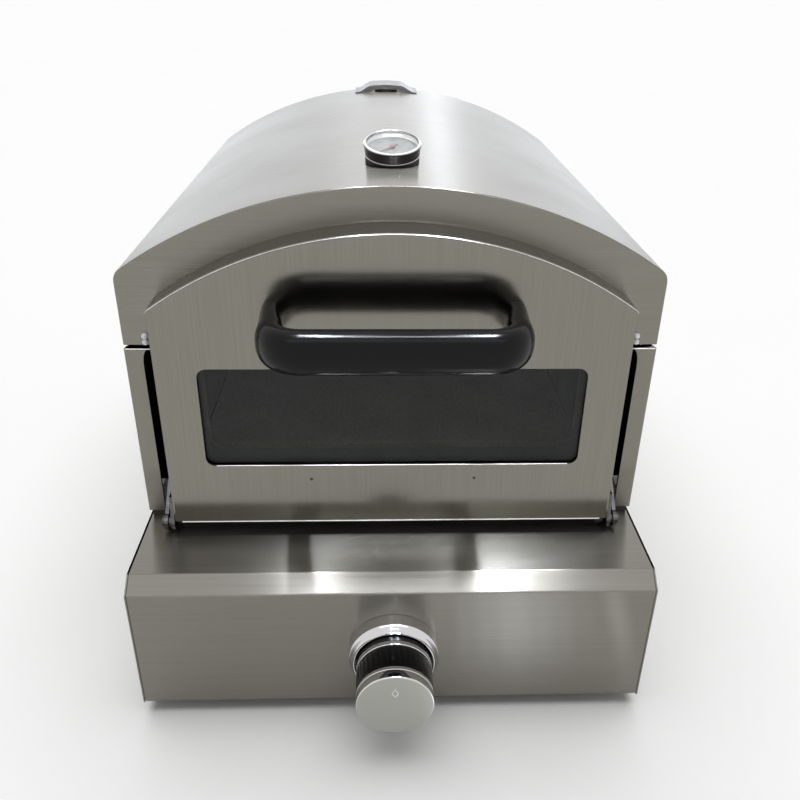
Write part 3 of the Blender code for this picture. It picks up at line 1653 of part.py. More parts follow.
def build_igniter():
    corners = burner_corners()
    x = -BURNER_HALF / 2
    y = corners[7][1] - IGNITER_OFFSET
    z = corners[3][2]
    igniter = turned(
        "igniter_electrode",
        [
            (0.0, IGNITER_TIP_LENGTH),
            (IGNITER_TIP_RADIUS, IGNITER_TIP_LENGTH),
            (IGNITER_TIP_RADIUS, 0.0),
            (IGNITER_RADIUS, 0.0),
            (IGNITER_RADIUS, -IGNITER_LENGTH),
            (0.0, -IGNITER_LENGTH),
        ],
        SMALL_STEPS,
    )
    igniter.location = (x, y, z)
    part(igniter, "ceramic")


def build_gas_line(port_y):
    inlet_x = INLET_X
    start_x = -VALVE_PORT_REACH - GAP
    end_y = BACK_Y - SHEET - INLET_INSIDE - GAP
    corners = [(start_x, port_y, KNOB_Z), (inlet_x, port_y, KNOB_Z), (inlet_x, end_y, KNOB_Z)]
    pipe = tube("gas_pipe", path_3d(corners, PIPE_BEND_RADIUS, BURNER_BEND_STEPS), PIPE_RADIUS, 2)
    part(pipe, "plain_steel")
    mount = empty("inlet_axis", (inlet_x, BACK_Y, KNOB_Z), (-math.pi / 2, 0.0, 0.0))
    inlet = turned(
        "inlet_fitting",
        [
            (0.0, INLET_REACH - INLET_BORE_DEPTH),
            (INLET_BORE, INLET_REACH - INLET_BORE_DEPTH),
            (INLET_BORE, INLET_REACH),
            (INLET_RADIUS, INLET_REACH),
            (INLET_RADIUS, GAP + INLET_FLANGE),
            (INLET_FLANGE_RADIUS, GAP + INLET_FLANGE),
            (INLET_FLANGE_RADIUS, GAP),
            (INLET_RADIUS, GAP),
            (INLET_RADIUS, -SHEET - INLET_INSIDE),
            (0.0, -SHEET - INLET_INSIDE),
        ],
        SMALL_STEPS,
        parent=mount,
    )
    part(inlet, "brass")


HINGE_POINT = (0.0, HINGE_Y, HINGE_Z)

clear_scene()
oven = new_collection("portable_pizza_oven", hidden=False)
cutters = new_collection("cutters", hidden=True)

build_feet()
build_base_shell()
build_base_ends()
build_base_back()
build_base_floor()
build_body_sides()
build_body_back()
build_chamber_liner()
build_stone_and_rails()
build_flame_shield()
build_hood_shell()
build_hood_back()
build_hood_liner()
build_bumpers()
build_flue()
build_thermometer()

door_hinge = empty("door_hinge_axis", HINGE_POINT)
build_door_skin(door_hinge)
build_door_inside(door_hinge)
build_handle(door_hinge)
build_hinges(door_hinge)

panel_front = facing_front("knob_front", (0.0, PANEL_Y, KNOB_Z))
build_bezel(panel_front)
valve_port_y = build_valve(panel_front)
build_stem_and_knob(panel_front)
build_burner()
build_igniter()
build_gas_line(valve_port_y)
bpy.context.view_layer.update()
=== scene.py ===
"""Looks of the portable gas pizza oven: materials, small fittings, a pale floor, soft studio
light and a camera at the photograph's angle. Metres, +Z up, the oven's front faces -Y."""

import math

import bmesh
import bpy
from mathutils import Matrix, Vector


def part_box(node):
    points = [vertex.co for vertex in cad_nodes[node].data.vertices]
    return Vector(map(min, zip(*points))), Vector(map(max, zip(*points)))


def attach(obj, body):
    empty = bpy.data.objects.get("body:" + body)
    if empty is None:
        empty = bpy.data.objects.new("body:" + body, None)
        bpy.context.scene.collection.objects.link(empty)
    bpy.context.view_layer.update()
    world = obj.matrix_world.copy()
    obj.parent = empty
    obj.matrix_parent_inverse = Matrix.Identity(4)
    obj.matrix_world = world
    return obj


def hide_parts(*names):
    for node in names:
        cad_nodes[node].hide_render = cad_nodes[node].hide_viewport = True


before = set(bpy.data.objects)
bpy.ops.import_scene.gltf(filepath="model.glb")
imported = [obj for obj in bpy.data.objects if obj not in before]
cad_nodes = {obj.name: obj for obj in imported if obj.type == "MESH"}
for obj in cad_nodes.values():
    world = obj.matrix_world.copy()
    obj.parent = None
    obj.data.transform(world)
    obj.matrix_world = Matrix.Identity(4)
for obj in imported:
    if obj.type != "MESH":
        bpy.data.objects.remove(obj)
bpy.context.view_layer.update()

# Places on the oven, read from its pieces
PANEL_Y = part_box("base_shell")[0][1]
SHELF_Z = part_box("base_shell")[1][2]
CROWN_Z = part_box("hood_shell")[1][2]
KNOB_Z = (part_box("knob_cap")[0][2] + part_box("knob_cap")[1][2]) / 2

# Thermometer's axis and face
GAUGE_TILT = math.radians(14.5)
GAUGE_SETBACK = 0.1715
DIAL_FACE = 0.0109
DIAL_PRINT = 0.00008
TICK_RADIUS = 0.0190
TICK_LONG = 0.0026
TICK_SHORT = 0.0014
TICK_WIDTH = 0.00035
TICKS = 25
TICKS_PER_NUMBER = 4
DIAL_START = math.radians(225)
DIAL_SWEEP = math.radians(270)
NUMBER_RADIUS = 0.0140
NUMBER_SIZE = 0.0030
NUMBER_STEP = 100
CASE_RADIUS = 0.0222
CASE_BEAD_HEIGHT = 0.0080
BEAD = 0.00035

# How finely curves are drawn, and what counts as one point or one smooth face
RING_SIDES = 8
RING_STEPS = 64
SMALL_STEPS = 20
ROUND_STEPS = 6
DOME_STEPS = 8
KNOB_STEPS = 144
SMOOTH_ANGLE = math.radians(35)
MERGE_DISTANCE = 0.000001

# Screws, rivets and weld marks, with their profiles as shares of radius and height
SCREW_RADIUS = 0.0034
SCREW_HEIGHT = 0.0016
SCREW_INSET = 0.011
SLOT_LONG = 0.0040
SLOT_WIDE = 0.0007
SLOT_SHARE = 1.1
INNER_SCREW_HEIGHT = 0.0007
RIVET_RADIUS = 0.0030
RIVET_HEIGHT = 0.0003
RIVETS_IN_ROW = 4
WELD_RADIUS = 0.0013
WELD_HEIGHT = 0.00012
WELD_HALF_PITCH = 0.0661
SCREW_SHARES = ((0.0, 1.0), (0.55, 0.94), (0.85, 0.72), (1.0, 0.35), (1.0, 0.0), (0.0, 0.0))
RIVET_SHARES = ((0.0, 1.0), (0.7, 1.0), (1.0, 0.3), (1.0, 0.0), (0.0, 0.0))
WELD_SHARES = ((0.0, 0.2), (0.5, 0.6), (0.8, 1.0), (1.0, 0.0))

# Knob, with heights above the front panel
KNOB_FACE_REACH = 0.0595
BEZEL_RADIUS = 0.0362
BEZEL_SKIRT = 0.0115
BEZEL_HEIGHT = 0.0180
BEZEL_MOUTH = 0.0314
BEZEL_WALL = 0.0016
BEZEL_REAR = 0.0003
BEZEL_ROUND = 0.0007
BEZEL_CROWN = 0.0005
RING_RADIUS = 0.0301
RING_INNER = 0.0288
RING_LOW = 0.0215
RING_HIGH = 0.0264
RING_ROUND = 0.0010
CAP_RADIUS = 0.0298
CAP_LOW = 0.0479
CAP_ROUND = 0.0012
CAP_GROOVE_AT = 0.0512
CAP_GROOVE = 0.0004
MARK_RISE = 0.0150
MARK_HALF = 0.0026
MARK_TALL = 0.0038
MARK_WIRE = 0.0004

# Bumpers and the inlet's thread
BUMPER_BASE = 0.0012
THREAD_PITCH = 0.0014
THREAD_STANDOFF = 0.0040
THREAD_START_SHARE = 0.7
THREADS = 7

# Handle
HANDLE_BAR_DEPTH = 0.024
HANDLE_LEG_WIDTH = 0.016
HANDLE_LEG_HEIGHT = 0.031
HANDLE_BEND = 0.022
HANDLE_BEND_STEPS = 20
HANDLE_LEG_STEPS = 10
HANDLE_SIDES = 56
HANDLE_POWER = 2.2

# Bright folded edges, their pale colour partly a painted glint, and the black strip below the door that
# stands as painted shade
EDGE_RADIUS = 0.0005
EDGE_SIDES = 10
EDGE_INSET = 0.006
ARCH_FROM = 0.27
ARCH_RADIUS = 0.00025
WINDOW_MARGIN = 0.03175
WINDOW_CORNER = 0.0075
WINDOW_RAISE = 0.0550
# Size of the black strip that stands as painted shade under the door
SHADE_STRIP_DEPTH = 0.0024
SHADE_STRIP_HEIGHT = 0.0105
SHADE_STRIP_EDGE = 0.0006
SHADE_STRIP_GAP = 0.0003

# Camera fitted to the photograph, with its width, focal length and centre in pixels
IMAGE = 800
SENSOR = 36.0
FOCAL = 818.0
CENTRE = (405.82, 401.68)
EYE = Vector((-0.0134, -0.7839, 0.5626))
PITCH = math.radians(28.05)
YAW = math.radians(2.34)
ROLL = math.radians(0.9)

# The world's light on matt surfaces from the horizon at 0 to straight up at 1, and the backdrop
SKY = ((0.0, 0.62), (0.12, 0.58), (0.30, 0.22), (0.50, 0.28), (1.0, 0.30))
BACKDROP = (0.965, 0.965, 0.965, 1.0)

# Soft sun for the matt surfaces
DAYLIGHT = 0.73
DAYLIGHT_ANGLE = math.radians(70)
DAYLIGHT_LEAN = math.radians(-12)

# Lamps for the glossy surfaces, with levels in which the world's white is 1
COOL = (0.83, 0.88, 1.0)
AIM_LEAD = 0.001
CEILING_TUBES = (
    dict(name="tube_left", place=(-0.19, -0.20, 2.0), width=0.03, length=0.60, level=440.0, turn=0.08),
    dict(name="tube_right", place=(0.345, -0.125, 2.0), width=0.04, length=0.45, level=540.0),
    dict(name="tube_right_wide", place=(0.42, -0.125, 2.01), width=0.25, length=0.45, level=36.0),
    dict(name="tube_cross", place=(0.15, -0.40, 2.0), width=0.53, length=0.10, level=64.0),
)
WALL_LAMPS = (
    dict(name="front_high", place=(0.0, -1.6, 2.4), aim=(0.0, -0.3, 0.1), width=3.0, length=0.8, level=0.9),
    dict(name="rear_wide", place=(0.0, 3.2, 0.85), aim=(0.0, 0.0, 0.4), width=5.0, length=1.7, level=1.12),
)
REAR_GLOW_PLACE = Vector((0.43, 3.1, 0.85))
REAR_GLOW_AIM = (0.05, 0.0, 0.4)
REAR_GLOW_WIDTHS = (0.08, 0.16, 0.24, 0.32)
REAR_GLOW_LENGTH = 1.5
REAR_GLOW_LEVEL = 0.32
REAR_GLOW_STEP = Vector((0.0, -0.02, 0.0))
LOW_GLOWS = (
    dict(x=0.12, width=0.03, level=0.5),
    dict(x=0.12, width=0.07, level=0.5),
    dict(x=0.12, width=0.11, level=0.5),
    dict(x=0.12, width=0.16, level=0.4),
    dict(x=0.222, width=0.016, level=0.9),
)
LOW_GLOW_Y = -0.405
LOW_GLOW_Z = 0.002
LOW_GLOW_STEP = 0.001
LOW_GLOW_LENGTH = 0.09
LOW_GLOW_TARGET = 1.0

# Floor
FLOOR_HALF = 60.0

# Sockets of the node that mixes two colours
MIX_FACTOR = 0
MIX_A = 6
MIX_B = 7
MIX_RESULT = 2

# Colours
STEEL = (0.205, 0.194, 0.166)
STEEL_PALE = (0.236, 0.226, 0.197)
MILL_STEEL = (0.42, 0.41, 0.39)
MILL_SHADE = (0.39, 0.38, 0.36)
COWL_STEEL = (0.20, 0.197, 0.19)
COWL_SHADE = (0.17, 0.167, 0.16)
CHROME = (0.66, 0.65, 0.66)
KNOB_SATIN = (0.40, 0.40, 0.37)
# Chrome darkened as painted shade, for the hinge in its slot and the thermometer case's side
CHROME_PAINTED_SHADE = (0.085, 0.082, 0.082)
CHROME_PAINTED_SHADE_RUBBED = (0.15, 0.147, 0.147)
# Chrome lightened as a painted highlight on the thermometer case's rim
CHROME_PAINTED_HIGHLIGHT = (0.86, 0.86, 0.85)
# Pale steel for the sheets' edges, partly a painted glint
CUT_EDGE_PAINTED_GLINT = (0.88, 0.88, 0.86)
CUT_EDGE_PAINTED_GLINT_NICKED = (0.62, 0.61, 0.58)
BURNT_STEEL = (0.070, 0.062, 0.055)
BURNT_TINT = (0.110, 0.085, 0.060)
BLACK_GLOSS = (0.002, 0.002, 0.003)
BLACK_HAZE = (0.003, 0.003, 0.004)
RUBBER = (0.018, 0.018, 0.019)
RUBBER_DUST = (0.034, 0.034, 0.035)
SILICONE = (0.84, 0.86, 0.88)
SILICONE_CLOUD = (0.78, 0.80, 0.82)
STONE = (0.52, 0.44, 0.33)
STONE_BAKED = (0.43, 0.34, 0.24)
STONE_SPOT = (0.66, 0.60, 0.50)
BRASS = (0.60, 0.43, 0.17)
BRASS_DULL = (0.42, 0.29, 0.12)
CERAMIC = (0.78, 0.76, 0.71)
CERAMIC_SPECK = (0.45, 0.40, 0.32)
DIAL = (0.26, 0.265, 0.25)
DIAL_PALE = (0.33, 0.335, 0.32)
DIAL_INK = (0.035, 0.035, 0.035)
RED = (0.19, 0.085, 0.075)
WINDOW_TINT = (0.37, 0.41, 0.39)
WINDOW_FILM = (0.41, 0.45, 0.43)
LENS = (0.96, 0.97, 0.97)
LENS_DUST = (0.90, 0.91, 0.91)
FLOOR = (0.975, 0.975, 0.975)
FLOOR_WORN = (0.965, 0.965, 0.965)

# Grain and wear of the surfaces, and how squarely the knob's satin face looks ahead
FINE_GRAIN_DEPTH = 0.0001
GRAIN_DEPTH = 0.0002
PORE_DEPTH = 0.0006
SCRATCH_SCALE = 2400.0
BROAD_SCRATCH_SCALE = 420.0
SCRATCH_STRETCH = 0.008
FINE_SCRATCH_SHARE = 0.65
GLOSS_SPREAD = 0.02
TURNED_STRETCH = (0.02, 1.0, 1.0)
WORN_INK_SHARE = 0.75
FACING_SHARE = 0.9


# Materials


class Surface:
    """A material in the making: its shader, and short ways to add and join nodes."""

    def __init__(self, name):
        self.material = bpy.data.materials.new(name)
        self.material.use_nodes = True
        self.tree = self.material.node_tree
        self.shader = self.tree.nodes["Principled BSDF"]

    def add(self, kind, settings=None, **inputs):
        """A new node with these settings, and a value or a link for each input that is named."""
        node = self.tree.nodes.new(kind)
        for key, value in (settings or {}).items():
            setattr(node, key, value)
        for key, value in inputs.items():
            self.put(node.inputs[key.replace("_", " ")], value)
        return node

    def put(self, socket, value):
        """Links a socket to another, or sets its value."""
        if isinstance(value, bpy.types.NodeSocket):
            self.tree.links.new(value, socket)
        elif isinstance(value, tuple) and socket.type == "RGBA":
            socket.default_value = (*value, 1.0)
        else:
            socket.default_value = value

    def set(self, **inputs):
        """Sets or links inputs of the shader."""
        for key, value in inputs.items():
            self.put(self.shader.inputs[key.replace("_", " ")], value)

    def coordinates(self, output="Object"):
        return self.add("ShaderNodeTexCoord").outputs[output]

    def math(self, operation, a, b=0.0):
        node = self.add("ShaderNodeMath", {"operation": operation})
        self.put(node.inputs[0], a)
        self.put(node.inputs[1], b)
        return node.outputs[0]

    def noise(self, vector, scale, detail=2.0, roughness=0.5):
        """Cloudy noise, with this many waves to a metre."""
        settings = {"Scale": scale, "Detail": detail, "Roughness": roughness}
        return self.add("ShaderNodeTexNoise", Vector=vector, **settings).outputs[0]

    def stretched(self, vector, scale):
        """Coordinates scaled along each axis, which draws a noise out where the scale is small."""
        node = self.add("ShaderNodeVectorMath", {"operation": "MULTIPLY"})
        self.put(node.inputs[0], vector)
        self.put(node.inputs[1], scale)
        return node.outputs[0]

    def range(self, value, low, high, start=0.3, end=0.7):
        """Runs from low to high while a value rises from start to end."""
        node = self.add("ShaderNodeMapRange", Value=value)
        node.inputs["From Min"].default_value = start
        node.inputs["From Max"].default_value = end
        node.inputs["To Min"].default_value = low
        node.inputs["To Max"].default_value = high
        return node.outputs[0]

    def blend(self, factor, a, b):
        """The first colour where the factor is 0, the second where it is 1."""
        node = self.add("ShaderNodeMix", {"data_type": "RGBA"})
        self.put(node.inputs[MIX_FACTOR], factor)
        self.put(node.inputs[MIX_A], a)
        self.put(node.inputs[MIX_B], b)
        return node.outputs[MIX_RESULT]

    def tint(self, value, a, b, start=0.3, end=0.7):
        """A colour that runs from one to the other as a value rises."""
        return self.blend(self.range(value, 0.0, 1.0, start, end), a, b)

    def bump(self, height, strength, distance):
        """Fine relief on the surface."""
        node = self.add("ShaderNodeBump", Height=height, Strength=strength, Distance=distance)
        self.set(Normal=node.outputs[0])


def brushed_steel(name, upright=False, gloss=0.24, draw=1.0):
    """Satin steel with long fine scratches across the sheet, or up and down it.

    The grain draws highlights out at right angles to itself.
    """
    look = Surface(name)
    normal = look.add("ShaderNodeSeparateXYZ", Vector=look.coordinates("Normal")).outputs
    across = look.math("ABSOLUTE", normal[0])
    if upright:
        along = look.add("ShaderNodeCombineXYZ", X=look.math("MULTIPLY", normal[1], -1.0), Y=normal[0])
        scale = (1.0, 1.0, SCRATCH_STRETCH)
    else:
        flat = look.math("ADD", normal[2], across)
        along = look.add("ShaderNodeCombineXYZ", Y=flat, Z=look.math("MULTIPLY", normal[1], -1.0))
        face = look.math("GREATER_THAN", look.math("ABSOLUTE", normal[1]), 0.5)
        rise = look.range(face, SCRATCH_STRETCH, 1.0, start=0.0, end=1.0)
        scale = look.add("ShaderNodeCombineXYZ", X=SCRATCH_STRETCH, Y=1.0, Z=rise).outputs[0]
    turn = look.add(
        "ShaderNodeVectorTransform",
        {"vector_type": "VECTOR", "convert_from": "OBJECT", "convert_to": "WORLD"},
        Vector=along.outputs[0],
    )
    place = look.coordinates()
    scratches = look.stretched(place, scale)
    fine = look.noise(scratches, scale=SCRATCH_SCALE, detail=3.0, roughness=0.6)
    broad = look.noise(scratches, scale=BROAD_SCRATCH_SCALE)
    both = look.math(
        "ADD",
        look.math("MULTIPLY", fine, FINE_SCRATCH_SHARE),
        look.math("MULTIPLY", broad, 1 - FINE_SCRATCH_SHARE),
    )
    handling = look.noise(place, scale=9.0, detail=3.0, roughness=0.55)
    satin = look.range(both, gloss - GLOSS_SPREAD, gloss + GLOSS_SPREAD)
    look.set(
        Metallic=1.0,
        Anisotropic=draw,
        Base_Color=look.tint(both, STEEL, STEEL_PALE, start=0.35, end=0.65),
        Roughness=look.math("ADD", satin, look.range(handling, -GLOSS_SPREAD / 2, GLOSS_SPREAD)),
        Tangent=turn.outputs[0],
    )
    look.bump(both, strength=0.04, distance=FINE_GRAIN_DEPTH)
    return look.material


def mill_steel(name, light=MILL_STEEL, dark=MILL_SHADE):
    """Plain rolled steel with a faint mottle."""
    look = Surface(name)
    place = look.coordinates()
    mottle = look.noise(place, scale=110.0, detail=4.0, roughness=0.6)
    grain = look.noise(place, scale=1500.0)
    look.set(
        Metallic=1.0,
        Base_Color=look.tint(mottle, light, dark),
        Roughness=look.range(mottle, 0.36, 0.42),
    )
    look.bump(grain, strength=0.08, distance=FINE_GRAIN_DEPTH)
    return look.material


def chrome(name):
    """Bright plating with a trace of handling."""
    look = Surface(name)
    smear = look.noise(look.coordinates(), scale=130.0, detail=3.0, roughness=0.6)
    look.set(Metallic=1.0, Base_Color=CHROME, Roughness=look.range(smear, 0.045, 0.10))
    look.bump(smear, strength=0.02, distance=GRAIN_DEPTH)
    return look.material


def chrome_painted_shade(name):
    """Bright plating darkened with painted shade where it stands in shade, with fine rubbed marks."""
    look = Surface(name)
    smear = look.noise(look.coordinates(), scale=240.0, detail=3.0, roughness=0.6)
    look.set(
        Metallic=1.0,
        Base_Color=look.tint(smear, CHROME_PAINTED_SHADE, CHROME_PAINTED_SHADE_RUBBED),
        Roughness=look.range(smear, 0.06, 0.12),
    )
    look.bump(smear, strength=0.03, distance=GRAIN_DEPTH)
    return look.material


def bright_edge(name):
    """The cleanly cut or folded edge of a steel sheet, far paler than the sheet: in part bare metal, in part
    a painted glint.
    """
    look = Surface(name)
    nicks = look.noise(look.coordinates(), scale=420.0, detail=3.0, roughness=0.6)
    look.set(
        Metallic=1.0,
        Base_Color=look.tint(nicks, CUT_EDGE_PAINTED_GLINT, CUT_EDGE_PAINTED_GLINT_NICKED),
        Roughness=look.range(nicks, 0.16, 0.30),
    )
    return look.material


def gauge_plating(name):
    """The thermometer's case: chrome with painted shade on its polished side and a painted highlight on its
    rolled rim.
    """
    look = Surface(name)
    place = look.coordinates()
    axis = (0.0, -math.sin(GAUGE_TILT), math.cos(GAUGE_TILT))
    node = look.add("ShaderNodeVectorMath", {"operation": "DOT_PRODUCT"})
    look.put(node.inputs[0], look.coordinates("Normal"))
    look.put(node.inputs[1], axis)
    smear = look.noise(place, scale=240.0, detail=3.0, roughness=0.6)
    look.set(
        Metallic=1.0,
        # Painted shade on the side and a painted highlight on the rim, by how squarely the surface faces
        # along the gauge's axis
        Base_Color=look.tint(node.outputs["Value"], CHROME_PAINTED_SHADE, CHROME_PAINTED_HIGHLIGHT, start=0.15, end=0.45),
        Roughness=look.range(smear, 0.07, 0.14),
    )
    look.bump(smear, strength=0.02, distance=GRAIN_DEPTH)
    return look.material


def burnt_steel(name):
    """Steel that heat has darkened, with brown temper patches and soot."""
    look = Surface(name)
    place = look.coordinates()
    patches = look.noise(place, scale=14.0, detail=5.0, roughness=0.6)
    grain = look.noise(place, scale=900.0)
    look.set(
        Metallic=0.9,
        Base_Color=look.tint(patches, BURNT_STEEL, BURNT_TINT),
        Roughness=look.range(patches, 0.40, 0.62),
    )
    look.bump(grain, strength=0.12, distance=GRAIN_DEPTH)
    return look.material


def gloss_black(name):
    """Hard moulded black plastic with a faint orange peel."""
    look = Surface(name)
    place = look.coordinates()
    peel = look.noise(place, scale=260.0)
    haze = look.noise(place, scale=25.0, detail=3.0, roughness=0.6)
    look.set(
        Base_Color=look.tint(haze, BLACK_GLOSS, BLACK_HAZE),
        Roughness=look.range(haze, 0.13, 0.18),
        IOR=1.28,
    )
    look.bump(peel, strength=0.03, distance=GRAIN_DEPTH)
    return look.material


def rubber(name):
    """Black rubber with a dusty, pebbled skin."""
    look = Surface(name)
    place = look.coordinates()
    dust = look.noise(place, scale=45.0, detail=4.0, roughness=0.6)
    pebble = look.noise(place, scale=1200.0)
    look.set(
        Base_Color=look.tint(dust, RUBBER, RUBBER_DUST),
        Roughness=look.range(dust, 0.62, 0.80),
    )
    look.bump(pebble, strength=0.25, distance=GRAIN_DEPTH)
    return look.material


def silicone(name):
    """Milky white silicone."""
    look = Surface(name)
    cloud = look.noise(look.coordinates(), scale=300.0)
    look.set(
        Base_Color=look.tint(cloud, SILICONE, SILICONE_CLOUD),
        Roughness=look.range(cloud, 0.28, 0.42),
    )
    look.bump(cloud, strength=0.05, distance=FINE_GRAIN_DEPTH)
    return look.material


def tinted_glass(name):
    """Smoked oven glass with a trace of grease."""
    look = Surface(name)
    film = look.noise(look.coordinates(), scale=30.0, detail=4.0, roughness=0.65)
    look.set(
        Base_Color=look.tint(film, WINDOW_TINT, WINDOW_FILM),
        Roughness=look.range(film, 0.0, 0.015),
        IOR=1.33,
        Transmission_Weight=1.0,
    )
    return look.material


def clear_glass(name):
    """A clear lens with a trace of dust."""
    look = Surface(name)
    film = look.noise(look.coordinates(), scale=90.0, detail=4.0, roughness=0.65)
    look.set(
        Base_Color=look.tint(film, LENS, LENS_DUST),
        Roughness=look.range(film, 0.0, 0.03),
        IOR=1.45,
        Transmission_Weight=1.0,
    )
    return look.material


def baking_stone(name):
    """Porous cordierite: pale grit in a tan body, browned in patches."""
    look = Surface(name)
    place = look.coordinates()
    grit = look.add("ShaderNodeTexVoronoi", Vector=place, Scale=420.0).outputs["Distance"]
    bake = look.noise(place, scale=11.0, detail=4.0, roughness=0.6)
    pores = look.noise(place, scale=700.0, detail=3.0, roughness=0.6)
    body = look.tint(bake, STONE, STONE_BAKED)
    look.set(
        Base_Color=look.tint(grit, STONE_SPOT, body, start=0.05, end=0.45),
        Roughness=look.range(pores, 0.80, 0.95),
    )
    look.bump(pores, strength=0.5, distance=PORE_DEPTH)
    return look.material


def brass(name):
    """Turned brass, dulled where it has been handled."""
    look = Surface(name)
    place = look.coordinates()
    tarnish = look.noise(place, scale=55.0, detail=4.0, roughness=0.6)
    look.set(
        Metallic=1.0,
        Base_Color=look.tint(tarnish, BRASS, BRASS_DULL),
        Roughness=look.range(tarnish, 0.24, 0.42),
    )
    look.bump(look.noise(place, scale=1500.0), strength=0.05, distance=FINE_GRAIN_DEPTH)
    return look.material


def ceramic(name):
    """Glazed white ceramic with small specks."""
    look = Surface(name)
    specks = look.noise(look.coordinates(), scale=800.0, detail=3.0, roughness=0.7)
    look.set(
        Base_Color=look.tint(specks, CERAMIC, CERAMIC_SPECK, start=0.62, end=0.70),
        Roughness=look.range(specks, 0.22, 0.36),
    )
    look.bump(specks, strength=0.04, distance=FINE_GRAIN_DEPTH)
    return look.material


def printed_dial(name):
    """The grey face of the thermometer, like fine blasted metal."""
    look = Surface(name)
    place = look.coordinates()
    blasted = look.noise(place, scale=1600.0, roughness=0.6)
    cloud = look.noise(place, scale=120.0, detail=3.0, roughness=0.6)
    look.set(
        Metallic=0.35,
        Base_Color=look.tint(cloud, DIAL, DIAL_PALE),
        Roughness=look.range(blasted, 0.42, 0.58),
    )
    look.bump(blasted, strength=0.15, distance=FINE_GRAIN_DEPTH)
    return look.material


def ink(name, colour):
    """Printed or painted colour with a faint unevenness."""
    look = Surface(name)
    place = look.coordinates()
    cloud = look.noise(place, scale=600.0, detail=3.0, roughness=0.6)
    darker = tuple(WORN_INK_SHARE * value for value in colour)
    look.set(
        Base_Color=look.tint(cloud, colour, darker),
        Roughness=look.range(cloud, 0.38, 0.55),
    )
    look.bump(cloud, strength=0.05, distance=FINE_GRAIN_DEPTH)
    return look.material


def knob_plating(name):
    """Bright plating round the knob's cap and a satin, finely turned face."""
    look = Surface(name)
    place = look.coordinates()
    facing = look.add("ShaderNodeSeparateXYZ", Vector=look.coordinates("Normal")).outputs[1]
    face = look.math("LESS_THAN", facing, -FACING_SHARE)
    smear = look.noise(place, scale=160.0, detail=3.0, roughness=0.6)
    grain = look.noise(look.stretched(place, TURNED_STRETCH), scale=1500.0, detail=3.0, roughness=0.6)
    bright = look.range(smear, 0.05, 0.10)
    satin = look.range(grain, 0.30, 0.42)
    look.set(
        Metallic=1.0,
        Base_Color=look.blend(face, CHROME, KNOB_SATIN),
        Roughness=look.math("ADD", bright, look.math("MULTIPLY", face, look.math("SUBTRACT", satin, bright))),
    )
    look.bump(look.math("MULTIPLY", grain, face), strength=0.05, distance=FINE_GRAIN_DEPTH)
    return look.material


def pale_floor(name):
    """A plain matt studio floor."""
    look = Surface(name)
    tone = look.noise(look.coordinates(), scale=3.0)
    look.set(
        Base_Color=look.tint(tone, FLOOR, FLOOR_WORN),
        Roughness=0.85,
        Specular_IOR_Level=0.0,
    )
    return look.material


MATERIALS = {
    "steel_across": brushed_steel("steel_across"),
    "steel_hood": brushed_steel("steel_hood", gloss=0.255, draw=0.88),
    "steel_upright": brushed_steel("steel_upright", upright=True),
    "steel_door": brushed_steel("steel_door", upright=True, gloss=0.17, draw=0.6),
    "mill_steel": mill_steel("mill_steel"),
    "cowl_steel": mill_steel("cowl_steel", COWL_STEEL, COWL_SHADE),
    "chrome": chrome("chrome"),
    "chrome_painted_shade": chrome_painted_shade("chrome_painted_shade"),
    "bright_edge": bright_edge("bright_edge"),
    "gauge_plating": gauge_plating("gauge_plating"),
    "knob_plating": knob_plating("knob_plating"),
    "burnt_steel": burnt_steel("burnt_steel"),
    "gloss_black": gloss_black("gloss_black"),
    "rubber": rubber("rubber"),
    "silicone": silicone("silicone"),
    "tinted_glass": tinted_glass("tinted_glass"),
    "clear_glass": clear_glass("clear_glass"),
    "baking_stone": baking_stone("baking_stone"),
    "brass": brass("brass"),
    "ceramic": ceramic("ceramic"),
    "printed_dial": printed_dial("printed_dial"),
    "dial_ink": ink("dial_ink", DIAL_INK),
    "red_paint": ink("red_paint", RED),
    "pale_floor": pale_floor("pale_floor"),
}

FINISHES = {
    "steel_across": ["base_shell", "base_back", "body_back"],
    "steel_hood": ["hood_shell", "hood_back"],
    "steel_door": ["door_skin"],
    "steel_upright": ["base_end_left", "base_end_right", "body_side_left", "body_side_right"],
    "cowl_steel": ["flue_cowl"],
    "mill_steel": [
        "base_floor", "door_inner", "window_retainer", "valve_stem", "burner", "burner_bracket_front",
        "burner_bracket_rear", "gas_pipe", "thermometer_probe",
    ],
    "chrome": ["knob_bezel", "knob_ring"],
    # The hinge's pieces, in chrome darkened with painted shade
    "chrome_painted_shade": [
        "hinge_bracket_left", "hinge_bracket_right", "hinge_arm_left", "hinge_arm_right",
        "hinge_pin_left", "hinge_pin_right",
    ],
    "gauge_plating": ["thermometer_case"],
    "knob_plating": ["knob_cap"],
    "burnt_steel": [
        "chamber_liner", "hood_liner", "flame_shield", "stone_rail_left", "stone_rail_right", "flue_collar",
    ],
    "gloss_black": ["door_handle", "knob_grip"],
    "rubber": [
        "foot_front_left", "foot_front_right", "foot_rear_left", "foot_rear_right",
        "body_rail_left", "body_rail_right", "window_gasket", "thermometer_collar",
    ],
    "silicone": ["hood_bumper_left", "hood_bumper_right"],
    "tinted_glass": ["window_glass"],
    "clear_glass": ["thermometer_glass"],
    "baking_stone": ["pizza_stone"],
    "brass": ["thermometer_nut", "stem_collar", "gas_valve", "injector", "inlet_fitting"],
    "ceramic": ["igniter_electrode"],
    "printed_dial": ["thermometer_dial"],
    "red_paint": ["thermometer_pointer"],
}


# Nodes whose curves show, by the body that carries them
ROUNDED = {
    "oven": [
        "hood_shell", "flue_cowl", "thermometer_case", "thermometer_collar", "inlet_fitting",
        "foot_front_left", "foot_front_right", "foot_rear_left", "foot_rear_right",
    ],
    "knob": ["knob_grip"],
    "door": ["hinge_arm_left", "hinge_arm_right"],
}


